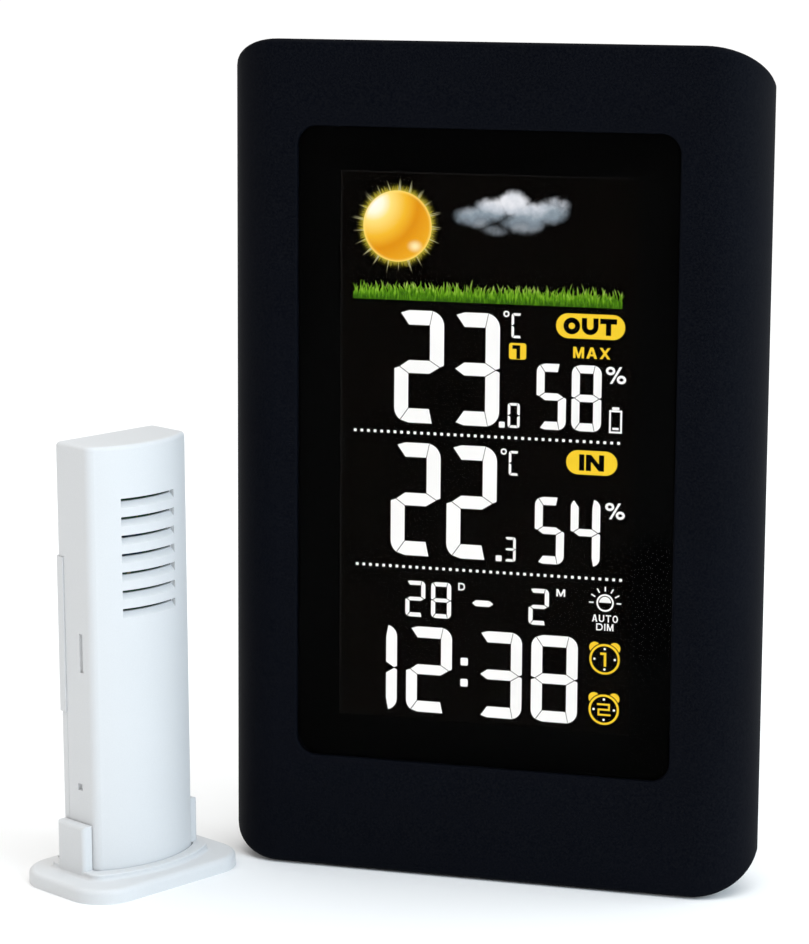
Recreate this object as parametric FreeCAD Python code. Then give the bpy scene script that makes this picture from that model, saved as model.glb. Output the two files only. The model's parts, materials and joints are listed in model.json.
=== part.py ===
"""Home weather station: a display unit on its fold-out leg, and a wireless outdoor sensor in its stand.

Every length is in millimetres. The display unit is modelled upright in its own frame: +X to its right as
seen from the front, +Y from its face towards its back, +Z up, with the front bottom edge of its face on
Y = Z = 0. It is then leaned back and stood on the table. The sensor is modelled in a like frame, with the
middle of its underside at the origin, and is then turned and set down beside the display unit.
"""

import FreeCAD
import Part
import math
import os

Vector = FreeCAD.Vector

# ---- display unit: outline ----
BODY_W = 123.8          # widest width, at the joint between the two shells
BODY_H = 190.0          # height of the face
FRONT_D = 13.6          # depth of the front shell
BODY_D = 26.0           # depth of both shells
SIDE_R = 13.4           # the face rolls into the sides on this radius
SLOPE = 33.0            # top and bottom fall away behind the face, in degrees
EDGE_R = 1.2            # round along the rim of the face
REAR_STEP = 0.3         # the rear shell is this much smaller all round
REAR_FACE_Z = 22.0      # the flat back starts and ends this far from the ends of the face
WALL = 2.0              # both shells
CLEAR = 0.25            # between a moving piece and the hole it works in

# ---- display unit: how it stands ----
LEAN = 2.0              # leans back, in degrees
EDGE_LIFT = 0.4         # the face's bottom edge clears the table
FACE_Y = -6.0           # the face's bottom edge stands here, so that the foot strip is over the origin

# ---- window and screen ----
WINDOW_W, WINDOW_H = 87.6, 144.7
WINDOW_Z = 98.5         # height of the window's middle
WINDOW_R = 4.5          # its corners
LENS_SINK = 0.6         # the lens lies this far below the face
BEVEL = 0.55            # round along the window's edge
LENS_T = 1.8
MASK_T = 0.3
VIEW_W, VIEW_H = 68.3, 125.0
VIEW_Z = 98.35
LCD_W, LCD_H, LCD_T = 76.0, 134.0, 2.2
LCD_Y = 2.9
LEDGE_W, LEDGE_H = 81.0, 138.0
SEAT_Y = 4.0            # back of the thick frame round the window
SEAT_BORDER = 3.4

# ---- boards ----
BOARD_Y, BOARD_T = 10.2, 1.6
BOARD_X = 46.0
BOARD_Z0, BOARD_Z1 = 33.0, 170.0
BOARD_BACK = BOARD_Y + BOARD_T
CHIP_Z = 140.0
ROD_R, ROD_AT = 2.7, (16.0, 168.0)     # ferrite rod, and Y and Z of its axis

# ---- power ----
CELL_R, CELL_L = 5.25, 44.5
CELL_PITCH = 11.6
BAY_X, BAY_Z = 25.5, 17.8      # half width and half height of the battery bay
BAY_MID_Z = 84.0
BAY_FLOOR_Y = 13.3
CELL_Y = BAY_FLOOR_Y + 0.1 + CELL_R
DOOR_X, DOOR_Z = 28.0, 21.0    # half width and half height of the battery door
DOOR_T = 1.8
DOOR_Y = BODY_D - DOOR_T

# ---- keys ----
KEY_NAMES = ("mode_key", "alarm_key", "plus_key", "minus_key", "channel_key", "memory_key")
KEY_PITCH, KEY_Z = 15.0, 124.0
KEY_W, KEY_H, KEY_PROUD = 10.0, 5.2, 0.8
SWITCH_T = 2.5
KEY_TRAVEL = 0.9
BAR_W, BAR_D, BAR_Y, BAR_PROUD = 44.0, 7.6, 7.2, 0.8
BAR_TRAVEL = 1.0

# ---- fold-out leg ----
LEG_AXIS = (23.2, 22.0)        # Y and Z of its pin
LEG_PIN_R = 1.25
LEG_X, LEG_L, LEG_T = 28.0, 34.0, 3.0
LEG_KNUCKLE_R = 2.5
LEG_TIP_Z = 2.0                # height of the tip's middle above the table when it is open
BOOT_X, BOOT_L, BOOT_T = 19.0, 7.5, 5.0
BOOT_OVER = 2.0                # the boot reaches past the leg's tip
WELL_X, WELL_Y = 30.0, 20.4    # half width and floor of the well that the leg folds into
WELL_Z0, WELL_Z1 = 16.5, 61.0
WELL_WALL = 1.5

# ---- fasteners ----
CASE_SCREWS = [(x, z) for x in (-52.5, 52.5) for z in (22.0, 168.0)]
BOARD_SCREWS = [(x, z) for x in (-43.0, 43.0) for z in (40.0, 156.0)]
HEAD_SEAT_Y = 17.0

# ---- ways in at the back, and the eye on the front ----
JACK_AT = (-36.5, 47.0)
JACK_HOLE_R = 4.2
JACK_W, JACK_BORE_R, JACK_PIN_R = 9.0, 2.9, 1.0
JACK_GAP = 0.4                 # behind the rear wall
LIGHT_AT = (12.0, 168.6)
HANGER_AT = (0.0, 148.0)
HANGER_R, HANGER_SLOT_R, HANGER_RISE = 4.0, 2.0, 8.0
BUZZER_AT = (32.0, 148.0)
CLIMATE_AT = (-32.0, 148.0)

# ---- outdoor sensor ----
SENSOR_W, SENSOR_H = 29.0, 99.0
SENSOR_FLAT = 11.5             # depth of the flat sides
SENSOR_BULGE = 4.5             # how far the front stands out in the middle
SENSOR_WALL = 1.4
SENSOR_SPLIT_Y = 1.0           # joint between its shells
SENSOR_FRONT_R, SENSOR_BACK_R = 2.6, 1.3     # its upright edges
SENSOR_RIM_R = 1.0
DOOR_SPLIT_Y, DOOR_Z0, DOOR_Z1 = 3.2, 5.0, 73.0
DOOR_PROUD, DOOR_PROUD_Z0 = 0.35, 37.0       # the upper part of the battery door stands out
SENSOR_SCREW_X, SENSOR_SCREW_Z = 9.5, 93.2
SENSOR_HANGER_Z, SENSOR_HANGER_R = 87.5, 2.6
VENTS, VENT_TOP_Z, VENT_PITCH = 7, 87.0, 4.2
VENT_W, VENT_H, VENT_SLIT, VENT_DEPTH = 15.5, 2.1, 0.9, 1.2
GRILLE_W, GRILLE_WALL = 18.0, 1.8            # the front wall is thicker behind the vents
CATCH_Y, CATCH_Z, CATCH_W, CATCH_H = -2.2, 51.5, 1.2, 9.0
PRESS_Y, PRESS_Z, PRESS_W = -0.8, 20.1, 1.6  # square hole in each side
SENSOR_BOARD_Y0, SENSOR_BOARD_Y1 = -2.6, -1.5
TX_AT = (-7.0, 66.0)
CHANNEL_AT = (2.5, 61.0)
STAND_AT = (-79.5, -21.0)
STAND_TURN = 61.5              # degrees, seen from above
PLATE_W, PLATE_D, PLATE_T, PLATE_R = 46.0, 30.5, 3.3, 9.0
PLATE_MID_Y = -1.5
PLATE_RIM_R = 1.2
SEAT_CLEAR = 0.2
TIER_RIM, TIER_H, TIER_R, TIER_BLEND = 2.4, 1.4, 3.0, 0.8
ARM_T, ARM_D, ARM_H, ARM_R = 2.6, 9.4, 11.8, 1.0
STAND_HOLE_R, STAND_HOLE_X, STAND_HOLE_Y = 1.7, 10.0, 10.8


# ---- basic shapes ----
def block(x0, x1, y0, y1, z0, z1, corner=0.0, along=None):
    """A box. With corner, the four edges that run along axis `along` are rounded."""
    shape = Part.makeBox(x1 - x0, y1 - y0, z1 - z0, Vector(x0, y0, z0))
    if corner:
        axis = {"x": Vector(1, 0, 0), "y": Vector(0, 1, 0), "z": Vector(0, 0, 1)}[along]
        edges = [e for e in shape.Edges if abs(e.tangentAt(e.FirstParameter).dot(axis)) > 0.99]
        shape = shape.makeFillet(corner, edges)
    return shape


def pad(x, z, w, h, y0, y1, corner=0.0):
    """A plate that lies parallel to the face, w by h about (x, z), from y0 to y1."""
    return block(x - w / 2, x + w / 2, y0, y1, z - h / 2, z + h / 2, corner, "y")


def pin(radius, start, end):
    """A round bar from one point to another."""
    start, end = Vector(*start), Vector(*end)
    way = end - start
    return Part.makeCylinder(radius, way.Length, start, way)


def post(radius, x, z, y0, y1):
    """A round bar that runs from front to back."""
    return pin(radius, (x, y0, z), (x, y1, z))


def join(shapes):
    shapes = list(shapes)
    return shapes[0].fuse(shapes[1:]).removeSplitter() if len(shapes) > 1 else shapes[0]


def rounded_bar(radius, start, end, round_r):
    """A round bar whose rim at the start is rounded."""
    bar = pin(radius, start, end)
    rims = [e for e in bar.Edges if e.isClosed() and (e.CenterOfMass - Vector(*start)).Length < 1e-6]
    return bar.makeFillet(round_r, rims)


def cut_away(shape, tools):
    """Takes every tool out of shape in one step."""
    return shape.cut(list(tools))


def outline(points):
    """A closed wire through points. A step of ("arc", through, to) is a round stretch."""
    edges, last = [], Vector(*points[0])
    for step in points[1:]:
        if step[0] == "arc":
            through, to = Vector(*step[1]), Vector(*step[2])
            edges.append(Part.Arc(last, through, to).toShape())
        else:
            to = Vector(*step)
            edges.append(Part.LineSegment(last, to).toShape())
        last = to
    if (last - Vector(*points[0])).Length > 1e-6:
        edges.append(Part.LineSegment(last, Vector(*points[0])).toShape())
    return Part.Wire(edges)


def prism(points, way):
    return Part.Face(outline(points)).extrude(Vector(*way))


def round_edges(shape, radius, chosen):
    """Rounds the edges for which chosen(edge's bounding box) is true."""
    edges = [e for e in shape.Edges if chosen(e.BoundBox)]
    return shape.makeFillet(radius, edges)


def coil(radius, wire, turns, start, way, length):
    """A coil spring of that mean radius and wire radius, from start along way."""
    pitch = (length - 2 * wire) / turns
    helix = Part.makeHelix(pitch, pitch * turns, radius)
    inner, outer = Vector(radius - wire, 0, 0), Vector(radius + wire, 0, 0)
    halves = [Part.Arc(inner, Vector(radius, 0, s * wire), outer).toShape() for s in (1, -1)]
    spring = Part.Wire(helix.Edges).makePipeShell([Part.Wire(halves)], True, True)
    spring.translate(Vector(0, 0, wire))
    turn = FreeCAD.Rotation(Vector(0, 0, 1), Vector(*way))
    spring.Placement = FreeCAD.Placement(Vector(*start), turn).multiply(spring.Placement)
    return spring


# ---- display unit: the two shells ----
def slope_z(y):
    """Height of the sloping underside at depth y. The rounded rim of the face comes down to zero."""
    a = math.radians(SLOPE)
    rim_loss = EDGE_R * (math.tan(a) + 1 / math.cos(a) - 1)
    return y * math.tan(a) - rim_loss


def front_body(inset, depth):
    """The front shell's outer shape, or a copy of it that is smaller by inset on every side."""
    half, r = BODY_W / 2 - inset, SIDE_R - inset
    mid = r * math.sin(math.radians(45))
    plan = [
        (-half + r, inset, 0),
        (half - r, inset, 0),
        ("arc", (half - r + mid, inset + r - mid, 0), (half, inset + r, 0)),
        (half, depth, 0),
        (-half, depth, 0),
        (-half, inset + r, 0),
        ("arc", (-half + r - mid, inset + r - mid, 0), (-half + r, inset, 0)),
    ]
    step = inset / math.cos(math.radians(SLOPE))
    side = [
        (-BODY_W, 0, slope_z(0) + step),
        (-BODY_W, depth, slope_z(depth) + step),
        (-BODY_W, depth, BODY_H - slope_z(depth) - step),
        (-BODY_W, 0, BODY_H - slope_z(0) - step),
    ]
    tall = prism(plan, (0, 0, BODY_H + 10))
    tall.translate(Vector(0, 0, -5))
    return tall.common(prism(side, (2 * BODY_W, 0, 0)))


def rear_body(inset):
    """The rear shell's outer shape, or a copy of it that is smaller by inset on every side."""
    half = BODY_W / 2 - REAR_STEP - inset
    r = BODY_D - FRONT_D - inset
    back, mid = BODY_D - inset, r * math.sin(math.radians(45))
    plan = [
        (-half, FRONT_D, 0),
        (half, FRONT_D, 0),
        ("arc", (half - r + mid, FRONT_D + mid, 0), (half - r, back, 0)),
        (-half + r, back, 0),
        ("arc", (-half + r - mid, FRONT_D + mid, 0), (-half, FRONT_D, 0)),
    ]
    low, high = slope_z(FRONT_D) + REAR_STEP + inset * 1.15, REAR_FACE_Z + inset * 0.9
    belly = ((FRONT_D + back) / 2 + 1.0, (low + high) / 2 - 0.9)
    side = [
        (-BODY_W, FRONT_D, low),
        ("arc", (-BODY_W, *belly), (-BODY_W, back, high)),
        (-BODY_W, back, BODY_H - high),
        ("arc", (-BODY_W, belly[0], BODY_H - belly[1]), (-BODY_W, FRONT_D, BODY_H - low)),
    ]
    return prism(plan, (0, 0, BODY_H)).common(prism(side, (2 * BODY_W, 0, 0)))


def between_slopes(shape, above, below):
    """The part of shape between two planes parallel to the sloping top, at these heights above it."""
    layer = [
        (-BODY_W, -5, BODY_H - slope_z(-5) + above),
        (-BODY_W, BODY_D, BODY_H - slope_z(BODY_D) + above),
        (-BODY_W, BODY_D, BODY_H - slope_z(BODY_D) + below),
        (-BODY_W, -5, BODY_H - slope_z(-5) + below),
    ]
    return shape.common(prism(layer, (2 * BODY_W, 0, 0)))


def front_outer():
    """The front shell's solid block, with the rim of its face rounded."""
    deep = FRONT_D + 6
    body = front_body(0, deep)
    body = round_edges(body, EDGE_R, lambda b: b.YMin < deep - 0.2 and (b.ZMin > 150 or b.ZMax < 40))
    return body.common(block(-BODY_W, BODY_W, -1, FRONT_D, -1, BODY_H + 1))


def front_shell():
    body = front_outer()
    shell = body.cut(front_body(WALL, FRONT_D + 1))
    ring = pad(0, WINDOW_Z, WINDOW_W + 2 * SEAT_BORDER, WINDOW_H + 2 * SEAT_BORDER, WALL, SEAT_Y, 4.0)
    studs = [post(2.5, x, z, SEAT_Y - 0.5, BOARD_Y) for x, z in BOARD_SCREWS]
    pillars = [post(3.2, x, z, WALL, FRONT_D).common(body) for x, z in CASE_SCREWS]
    shell = join([shell, ring, *studs, *pillars])
    cuts = [
        pad(0, WINDOW_Z, WINDOW_W, WINDOW_H, -1, LENS_SINK + LENS_T + MASK_T, WINDOW_R),
        pad(0, VIEW_Z, LEDGE_W, LEDGE_H, 0, SEAT_Y + 1, 2.0),
        block(-BAR_W / 2 - CLEAR, BAR_W / 2 + CLEAR, BAR_Y - BAR_D / 2 - CLEAR, BAR_Y + BAR_D / 2 + CLEAR,
              176, BODY_H + 2, 2.2, "z"),
        post(1.4, *LIGHT_AT, WALL, SEAT_Y + 1),
    ]
    cuts += [post(1.0, x, z, SEAT_Y + 1.5, BOARD_Y + 1) for x, z in BOARD_SCREWS]
    cuts += [post(1.25, x, z, 5.0, FRONT_D + 1) for x, z in CASE_SCREWS]
    shell = cut_away(shell, cuts)
    return round_edges(shell, BEVEL, is_window_rim)


def is_window_rim(box):
    """True for the edges where the window's hole meets the face."""
    return box.YMax < 0.01 and box.XMax < WINDOW_W / 2 + 0.1 and box.XMin > -WINDOW_W / 2 - 0.1


def rear_shell():
    body = rear_body(0)
    body = round_edges(body, 1.6, lambda b: b.YMin > BODY_D - 0.1)
    shell = body.cut(rear_body(WALL))
    tub = pad(0, BAY_MID_Z, 2 * DOOR_X + 3.4, 2 * DOOR_Z + 3.4, BAY_FLOOR_Y - 0.9, BODY_D - 0.1)
    well = block(-WELL_X - WELL_WALL, WELL_X + WELL_WALL, WELL_Y - WELL_WALL, BODY_D - 0.1,
                 WELL_Z0 - WELL_WALL, WELL_Z1 + WELL_WALL)
    lugs = [
        block(min(s * WELL_X, s * (WELL_X + 3.2)), max(s * WELL_X, s * (WELL_X + 3.2)), WELL_Y - 1.5,
              BODY_D - 0.1, LEG_AXIS[1] - 4, LEG_AXIS[1] + 4)
        for s in (-1, 1)
    ]
    posts = [post(4.2, x, z, FRONT_D, BODY_D) for x, z in CASE_SCREWS]
    shell = shell.fuse([tub] + [piece.common(body) for piece in (well, *lugs, *posts)])
    cuts = [
        pad(0, BAY_MID_Z, 2 * BAY_X, 2 * BAY_Z, BAY_FLOOR_Y, BODY_D + 1, 1.0),
        pad(0, BAY_MID_Z, 2 * DOOR_X + 0.3, 2 * DOOR_Z + 0.3, DOOR_Y - 0.1, BODY_D + 1, 2.1),
        block(-WELL_X, WELL_X, WELL_Y, BODY_D + 1, WELL_Z0, WELL_Z1, 1.5, "y"),
        pin(LEG_PIN_R + 0.02, (-WELL_X - 2.8, *LEG_AXIS), (WELL_X + 2.8, *LEG_AXIS)),
        post(JACK_HOLE_R, *JACK_AT, 22, BODY_D + 1),
    ]
    x, z = HANGER_AT
    cuts += [
        post(HANGER_R, x, z, 22, BODY_D + 1),
        block(x - HANGER_SLOT_R, x + HANGER_SLOT_R, 22, BODY_D + 1, z, z + HANGER_RISE),
        post(HANGER_SLOT_R, x, z + HANGER_RISE, 22, BODY_D + 1),
    ]
    for i in range(len(KEY_NAMES)):
        cuts.append(pad(key_x(i), KEY_Z, KEY_W + 2 * CLEAR, KEY_H + 2 * CLEAR, 22, BODY_D + 1, 2.5))
    x, z = BUZZER_AT
    cuts += [post(0.9, x, z, 22, BODY_D + 1)]
    for ring, count in ((3.0, 6), (6.0, 12)):
        for i in range(count):
            a = 2 * math.pi * i / count
            cuts.append(post(0.8, x + ring * math.cos(a), z + ring * math.sin(a), 22, BODY_D + 1))
    x, z = CLIMATE_AT
    cuts += [pad(x, z + 3.0 * i, 13.0, 1.4, 22, BODY_D + 1, 0.69) for i in (-2, -1, 0, 1, 2)]
    for x, z in CASE_SCREWS:
        cuts += [post(2.9, x, z, HEAD_SEAT_Y, BODY_D + 1), post(1.4, x, z, FRONT_D - 1, BODY_D)]
    for s in (-1, 1):
        for i in range(5):
            z = 120.0 + 4.0 * i
            cuts.append(block(min(s * 50, s * 66), max(s * 50, s * 66), 17.0, 21.5, z, z + 1.5))
    return cut_away(shell, cuts)


# ---- display unit: window, screen and lighting ----
def display_lens():
    y = LENS_SINK
    lens = pad(0, WINDOW_Z, WINDOW_W - 0.4, WINDOW_H - 0.4, y, y + LENS_T, WINDOW_R - 0.2)
    return round_edges(lens, 0.25, lambda b: b.YMax < y + 0.01)


def lens_mask():
    y = LENS_SINK + LENS_T
    mask = pad(0, WINDOW_Z, WINDOW_W - 0.5, WINDOW_H - 0.5, y, y + MASK_T - 0.02, WINDOW_R - 0.25)
    return mask.cut(pad(0, VIEW_Z, VIEW_W, VIEW_H, y - 1, y + 1, 0.4))


def lcd_panel():
    """The two glasses of the screen: the front one is shorter, which leaves a ledge for the contacts."""
    front = pad(0, VIEW_Z - 1.5, LCD_W, LCD_H - 3, LCD_Y, LCD_Y + LCD_T / 2)
    rear = pad(0, VIEW_Z, LCD_W, LCD_H, LCD_Y + LCD_T / 2, LCD_Y + LCD_T)
    return join([front, rear])


TRAY_Y0 = LCD_Y + LCD_T + 0.1
TRAY_Z0, TRAY_Z1 = VIEW_Z - LCD_H / 2 - 1.8, VIEW_Z + LCD_H / 2 - 3.6


def backlight_tray():
    tray = block(-39.8, 39.8, TRAY_Y0, TRAY_Y0 + 4.0, TRAY_Z0, TRAY_Z1)
    return tray.cut(block(-38.2, 38.2, TRAY_Y0 - 1, TRAY_Y0 + 3.0, TRAY_Z0 + 1.4, TRAY_Z1 - 1.4))


def backlight_diffuser():
    return block(-38.0, 38.0, TRAY_Y0 + 0.1, TRAY_Y0 + 2.9, TRAY_Z0 + 5.0, TRAY_Z1 - 1.6)


def backlight_leds():
    strip = block(-36, 36, TRAY_Y0 + 0.3, TRAY_Y0 + 2.7, TRAY_Z0 + 1.6, TRAY_Z0 + 2.4)
    lamps = [
        block(x - 1.75, x + 1.75, TRAY_Y0 + 0.5, TRAY_Y0 + 2.5, TRAY_Z0 + 2.4, TRAY_Z0 + 4.2)
        for x in range(-30, 31, 12)
    ]
    return join([strip, *lamps])


def zebra_connector():
    z = VIEW_Z + LCD_H / 2
    return block(-34, 34, LCD_Y + LCD_T + 0.05, BOARD_Y - 0.02, z - 3.2, z - 0.6)


# ---- display unit: electronics ----
def main_board():
    board = block(-BOARD_X, BOARD_X, BOARD_Y, BOARD_BACK, BOARD_Z0, BOARD_Z1, 1.5, "y")
    for x, z in BOARD_SCREWS:
        board = board.cut(post(1.15, x, z, 9, 13))
    return board


def key_x(i):
    return KEY_PITCH * (i - (len(KEY_NAMES) - 1) / 2)


def key_switches():
    """One tact switch behind each rear key: a square base and a round plunger."""
    made = []
    for i in range(len(KEY_NAMES)):
        base = pad(key_x(i), KEY_Z, 6.0, 6.0, BOARD_BACK, BOARD_BACK + 1.8)
        made.append(join([base, post(1.7, key_x(i), KEY_Z, BOARD_BACK + 1.8, BOARD_BACK + SWITCH_T)]))
    return Part.makeCompound(made)


def snooze_switch():
    base = block(-3, 3, 6.4, BOARD_Y, 166.4, BOARD_Z1)
    return join([base, pin(1.5, (0, 8.3, BOARD_Z1), (0, 8.3, BOARD_Z1 + 0.8))])


def controller_chip():
    """The quad flat chip that runs the screen, with its rows of legs."""
    z, y = CHIP_Z, BOARD_BACK
    body = pad(0, z, 9.0, 9.0, y + 0.2, y + 1.6)
    legs = []
    for i in range(-5, 6):
        t = i * 0.75
        legs += [pad(t, z + s * 5.2, 0.35, 1.6, y, y + 0.7) for s in (-1, 1)]
        legs += [pad(s * 5.2, z + t, 1.6, 0.35, y, y + 0.7) for s in (-1, 1)]
    return join([body, *legs])


def receiver_module():
    x, z, y = -37.0, 78.0, BOARD_BACK
    board = pad(x, z, 13.0, 24.0, y + 0.6, y + 1.6)
    can = pad(x, z - 4, 9.0, 9.0, y + 1.6, y + 3.8)
    legs = [pad(x + 2.5 * i, z - 11.2, 0.7, 0.7, y, y + 0.6) for i in (-2, -1, 0, 1, 2)]
    return join([board, can, *legs])


def receiver_antenna():
    """The receiver's wire, which stands up beside it and turns over at the top."""
    x, y = -42.0, BOARD_BACK + 2.6
    foot, top = 90.3, 115.0
    path = Part.Wire([
        Part.LineSegment(Vector(x, y, foot), Vector(x, y, top)).toShape(),
        Part.Arc(Vector(x, y, top), Vector(x + 0.88, y, top + 2.12), Vector(x + 3, y, top + 3)).toShape(),
        Part.LineSegment(Vector(x + 3, y, top + 3), Vector(x + 14, y, top + 3)).toShape(),
    ])
    ring = Part.Wire(Part.Circle(Vector(x, y, foot), Vector(0, 0, 1), 0.5).toShape())
    return path.makePipeShell([ring], True, False)


def along_rod(radius, x0, x1):
    return pin(radius, (x0, *ROD_AT), (x1, *ROD_AT))


def time_antenna_rod():
    return along_rod(ROD_R, -27, 27)


def time_antenna_coil():
    """The winding of the time signal's antenna, between two flanges on the ferrite rod."""
    flanges = [along_rod(ROD_R + 1.3, s * 13 - 0.6, s * 13 + 0.6) for s in (-1, 1)]
    return join([along_rod(ROD_R + 0.8, -13, 13), *flanges]).cut(along_rod(ROD_R + 0.04, -15, 15))


def buzzer():
    x, z = BUZZER_AT
    body = post(9.0, x, z, 19.4, BODY_D - WALL - 0.05)
    return body.cut(post(1.2, x, z, 22.5, BODY_D))


def climate_sensor():
    """The sensor for the room's temperature and humidity, on a small board behind the rear vents."""
    x, z = CLIMATE_AT
    board = pad(x, z, 14.0, 16.0, 20.8, 21.6)
    chip = pad(x, z, 4.0, 4.0, 21.6, 22.8)
    legs = [post(0.4, x + s * 5, z - 6.5, BOARD_BACK, 20.8) for s in (-1, 0, 1)]
    return join([board, chip, *legs])


def light_sensor():
    x, z = LIGHT_AT
    bulb = post(1.2, x, z, 3.0, 6.2)
    base = post(1.9, x, z, 6.2, 7.0)
    legs = [post(0.3, x + s * 0.9, z, 7.0, BOARD_Y) for s in (-1, 1)]
    return join([bulb, base, *legs])


def dc_jack():
    x, z = JACK_AT
    front = BODY_D - WALL - JACK_GAP
    floor = BOARD_BACK + 2.7
    body = pad(x, z, JACK_W, JACK_W, BOARD_BACK, front, 0.8)
    body = body.cut(post(JACK_BORE_R, x, z, floor, front + 1))
    return join([body, post(JACK_PIN_R, x, z, floor - 0.5, front - 0.9)])


# ---- display unit: batteries ----
def cell_row():
    """Height of each cell, and +1 or -1 for the way its terminal points."""
    return [(BAY_MID_Z + CELL_PITCH * i, 1 if i % 2 else -1) for i in (-1, 0, 1)]


def one_cell(start, way):
    """A cell of the AAA size, from the flat end at start. way is a unit direction."""
    flat, shoulder, tip = (Vector(*start) + Vector(*way) * d for d in (0, CELL_L - 1.0, CELL_L))
    can = rounded_bar(CELL_R, flat, shoulder, 0.5)
    return join([can, pin(1.9, shoulder, tip)])


def cell_end(way):
    """X of a cell's flat end, so that its terminal touches its contact plate."""
    return way * (BAY_X - 1.0 - CELL_L)


def battery_cells():
    return Part.makeCompound([one_cell((cell_end(w), CELL_Y, z), (w, 0, 0)) for z, w in cell_row()])


def battery_contacts():
    plates = []
    for z, way in cell_row():
        x = way * (BAY_X - 0.9)
        plates.append(block(min(x, x + way * 0.5), max(x, x + way * 0.5), CELL_Y - 4.5, CELL_Y + 4.5,
                            z - 4.5, z + 4.5))
        x = -way * (BAY_X - 0.4)
        plates.append(block(min(x, x - way * 0.3), max(x, x - way * 0.3), CELL_Y - 4.5, CELL_Y + 4.5,
                            z - 4.5, z + 4.5))
    return Part.makeCompound(plates)


def battery_springs():
    made = []
    for z, way in cell_row():
        back = -way * (BAY_X - 0.45)
        made.append(coil(3.0, 0.35, 3.0, (back, CELL_Y, z), (way, 0, 0), abs(cell_end(way) - back) - 0.05))
    return Part.makeCompound(made)


def battery_door():
    door = pad(0, BAY_MID_Z, 2 * DOOR_X, 2 * DOOR_Z, DOOR_Y, BODY_D, 2.0)
    door = round_edges(door, 0.4, lambda b: b.YMin > BODY_D - 0.01)
    tongue = block(-6, 6, DOOR_Y - 2.2, DOOR_Y, BAY_MID_Z + BAY_Z - 1.6, BAY_MID_Z + BAY_Z - 0.3)
    door = join([door, tongue])
    for i in range(5):
        z = BAY_MID_Z + DOOR_Z - 4.0 - 2.2 * i
        door = door.cut(pad(0, z, 16.0, 1.1, BODY_D - 0.7, BODY_D + 1, 0.5))
    return door


# ---- display unit: keys ----
def rear_key(i):
    """An oblong cap that stands proud of the back, a flange behind the wall, and a stem to its switch."""
    x, inside = key_x(i), BODY_D - WALL
    cap = pad(x, KEY_Z, KEY_W, KEY_H, inside - 0.4, BODY_D + KEY_PROUD, 2.4)
    cap = round_edges(cap, 0.5, lambda b: b.YMin > BODY_D + KEY_PROUD - 0.01)
    flange = pad(x, KEY_Z, KEY_W + 2.4, KEY_H + 2.4, inside - 1.4, inside - 0.2, 1.0)
    stem = post(1.5, x, KEY_Z, BOARD_BACK + SWITCH_T + KEY_TRAVEL + 0.15, inside - 1.4)
    return join([cap, flange, stem])


def snooze_bar():
    """The long key in the sloping top: its cap follows the slope, with a flange under the wall."""
    under = WALL / math.cos(math.radians(SLOPE))
    x, y0, y1 = BAR_W / 2, BAR_Y - BAR_D / 2, BAR_Y + BAR_D / 2
    column = block(-x, x, y0, y1, 170, BODY_H + 5, 2.0, "z")
    cap = between_slopes(column, BAR_PROUD, -under - 0.5)
    cap = round_edges(cap, 0.5, lambda b: b.ZMin > BODY_H - slope_z(b.YMax) + BAR_PROUD - 0.2)
    wide = block(-x - 1.2, x + 1.2, y0 - 1.2, y1 + 1.2, 165, BODY_H + 5, 1.5, "z")
    flange = between_slopes(wide, -under - 0.3, -under - 1.5)
    stem = pin(1.4, (0, 8.3, BOARD_Z1 + 0.8 + BAR_TRAVEL + 0.15), (0, 8.3, 181))
    stem = between_slopes(stem, -under - 1.0, -30)
    return join([cap, flange, stem])


# ---- display unit: leg, feet and fasteners ----
def leg_pin():
    return pin(LEG_PIN_R, (-WELL_X - 2.6, *LEG_AXIS), (WELL_X + 2.6, *LEG_AXIS))


def leg_axis_on_table():
    """Y and Z of the leg's pin once the unit is leaned back and stood up."""
    spot = stand_up(Part.Vertex(0, *LEG_AXIS)).Point
    return spot.y, spot.z


def leg_angle():
    """How far below the horizontal the open leg points, in degrees."""
    return math.degrees(math.asin((leg_axis_on_table()[1] - LEG_TIP_Z) / LEG_L))


def swing_leg(shape):
    """Carries a shape made along +Y from the origin to the open leg's place."""
    y, z = leg_axis_on_table()
    turn = FreeCAD.Rotation(Vector(1, 0, 0), -leg_angle())
    return placed(shape, FreeCAD.Placement(Vector(0, y, z), turn))


def kickstand():
    """The leg: a bored knuckle, a dished plate that narrows to its tip, and two ribs."""
    t, tip, swell = LEG_T / 2, LEG_X - 6.0, LEG_L * 0.6
    bend = 6.0 * (1 - math.cos(math.radians(45)))
    plan = [
        (-LEG_X, 0, -t),
        (LEG_X, 0, -t),
        (LEG_X, swell, -t),
        ("arc", (LEG_X - bend, (swell + LEG_L) / 2 + bend, -t), (tip, LEG_L, -t)),
        (-tip, LEG_L, -t),
        ("arc", (-LEG_X + bend, (swell + LEG_L) / 2 + bend, -t), (-LEG_X, swell, -t)),
    ]
    plate = prism(plan, (0, 0, LEG_T))
    dish = block(-LEG_X + 5, LEG_X - 5, 7, LEG_L - 9, t - 1.2, t + 1, 3.0, "z")
    ribs = [block(x - 0.6, x + 0.6, 6.5, LEG_L - 8.5, t - 1.4, t) for x in (-9, 9)]
    knuckle = pin(LEG_KNUCKLE_R, (-LEG_X, 0, 0), (LEG_X, 0, 0))
    leg = join([plate, knuckle]).cut(dish)
    leg = join([leg, *ribs])
    return swing_leg(leg.cut(pin(LEG_PIN_R + 0.05, (-LEG_X - 1, 0, 0), (LEG_X + 1, 0, 0))))


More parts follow.
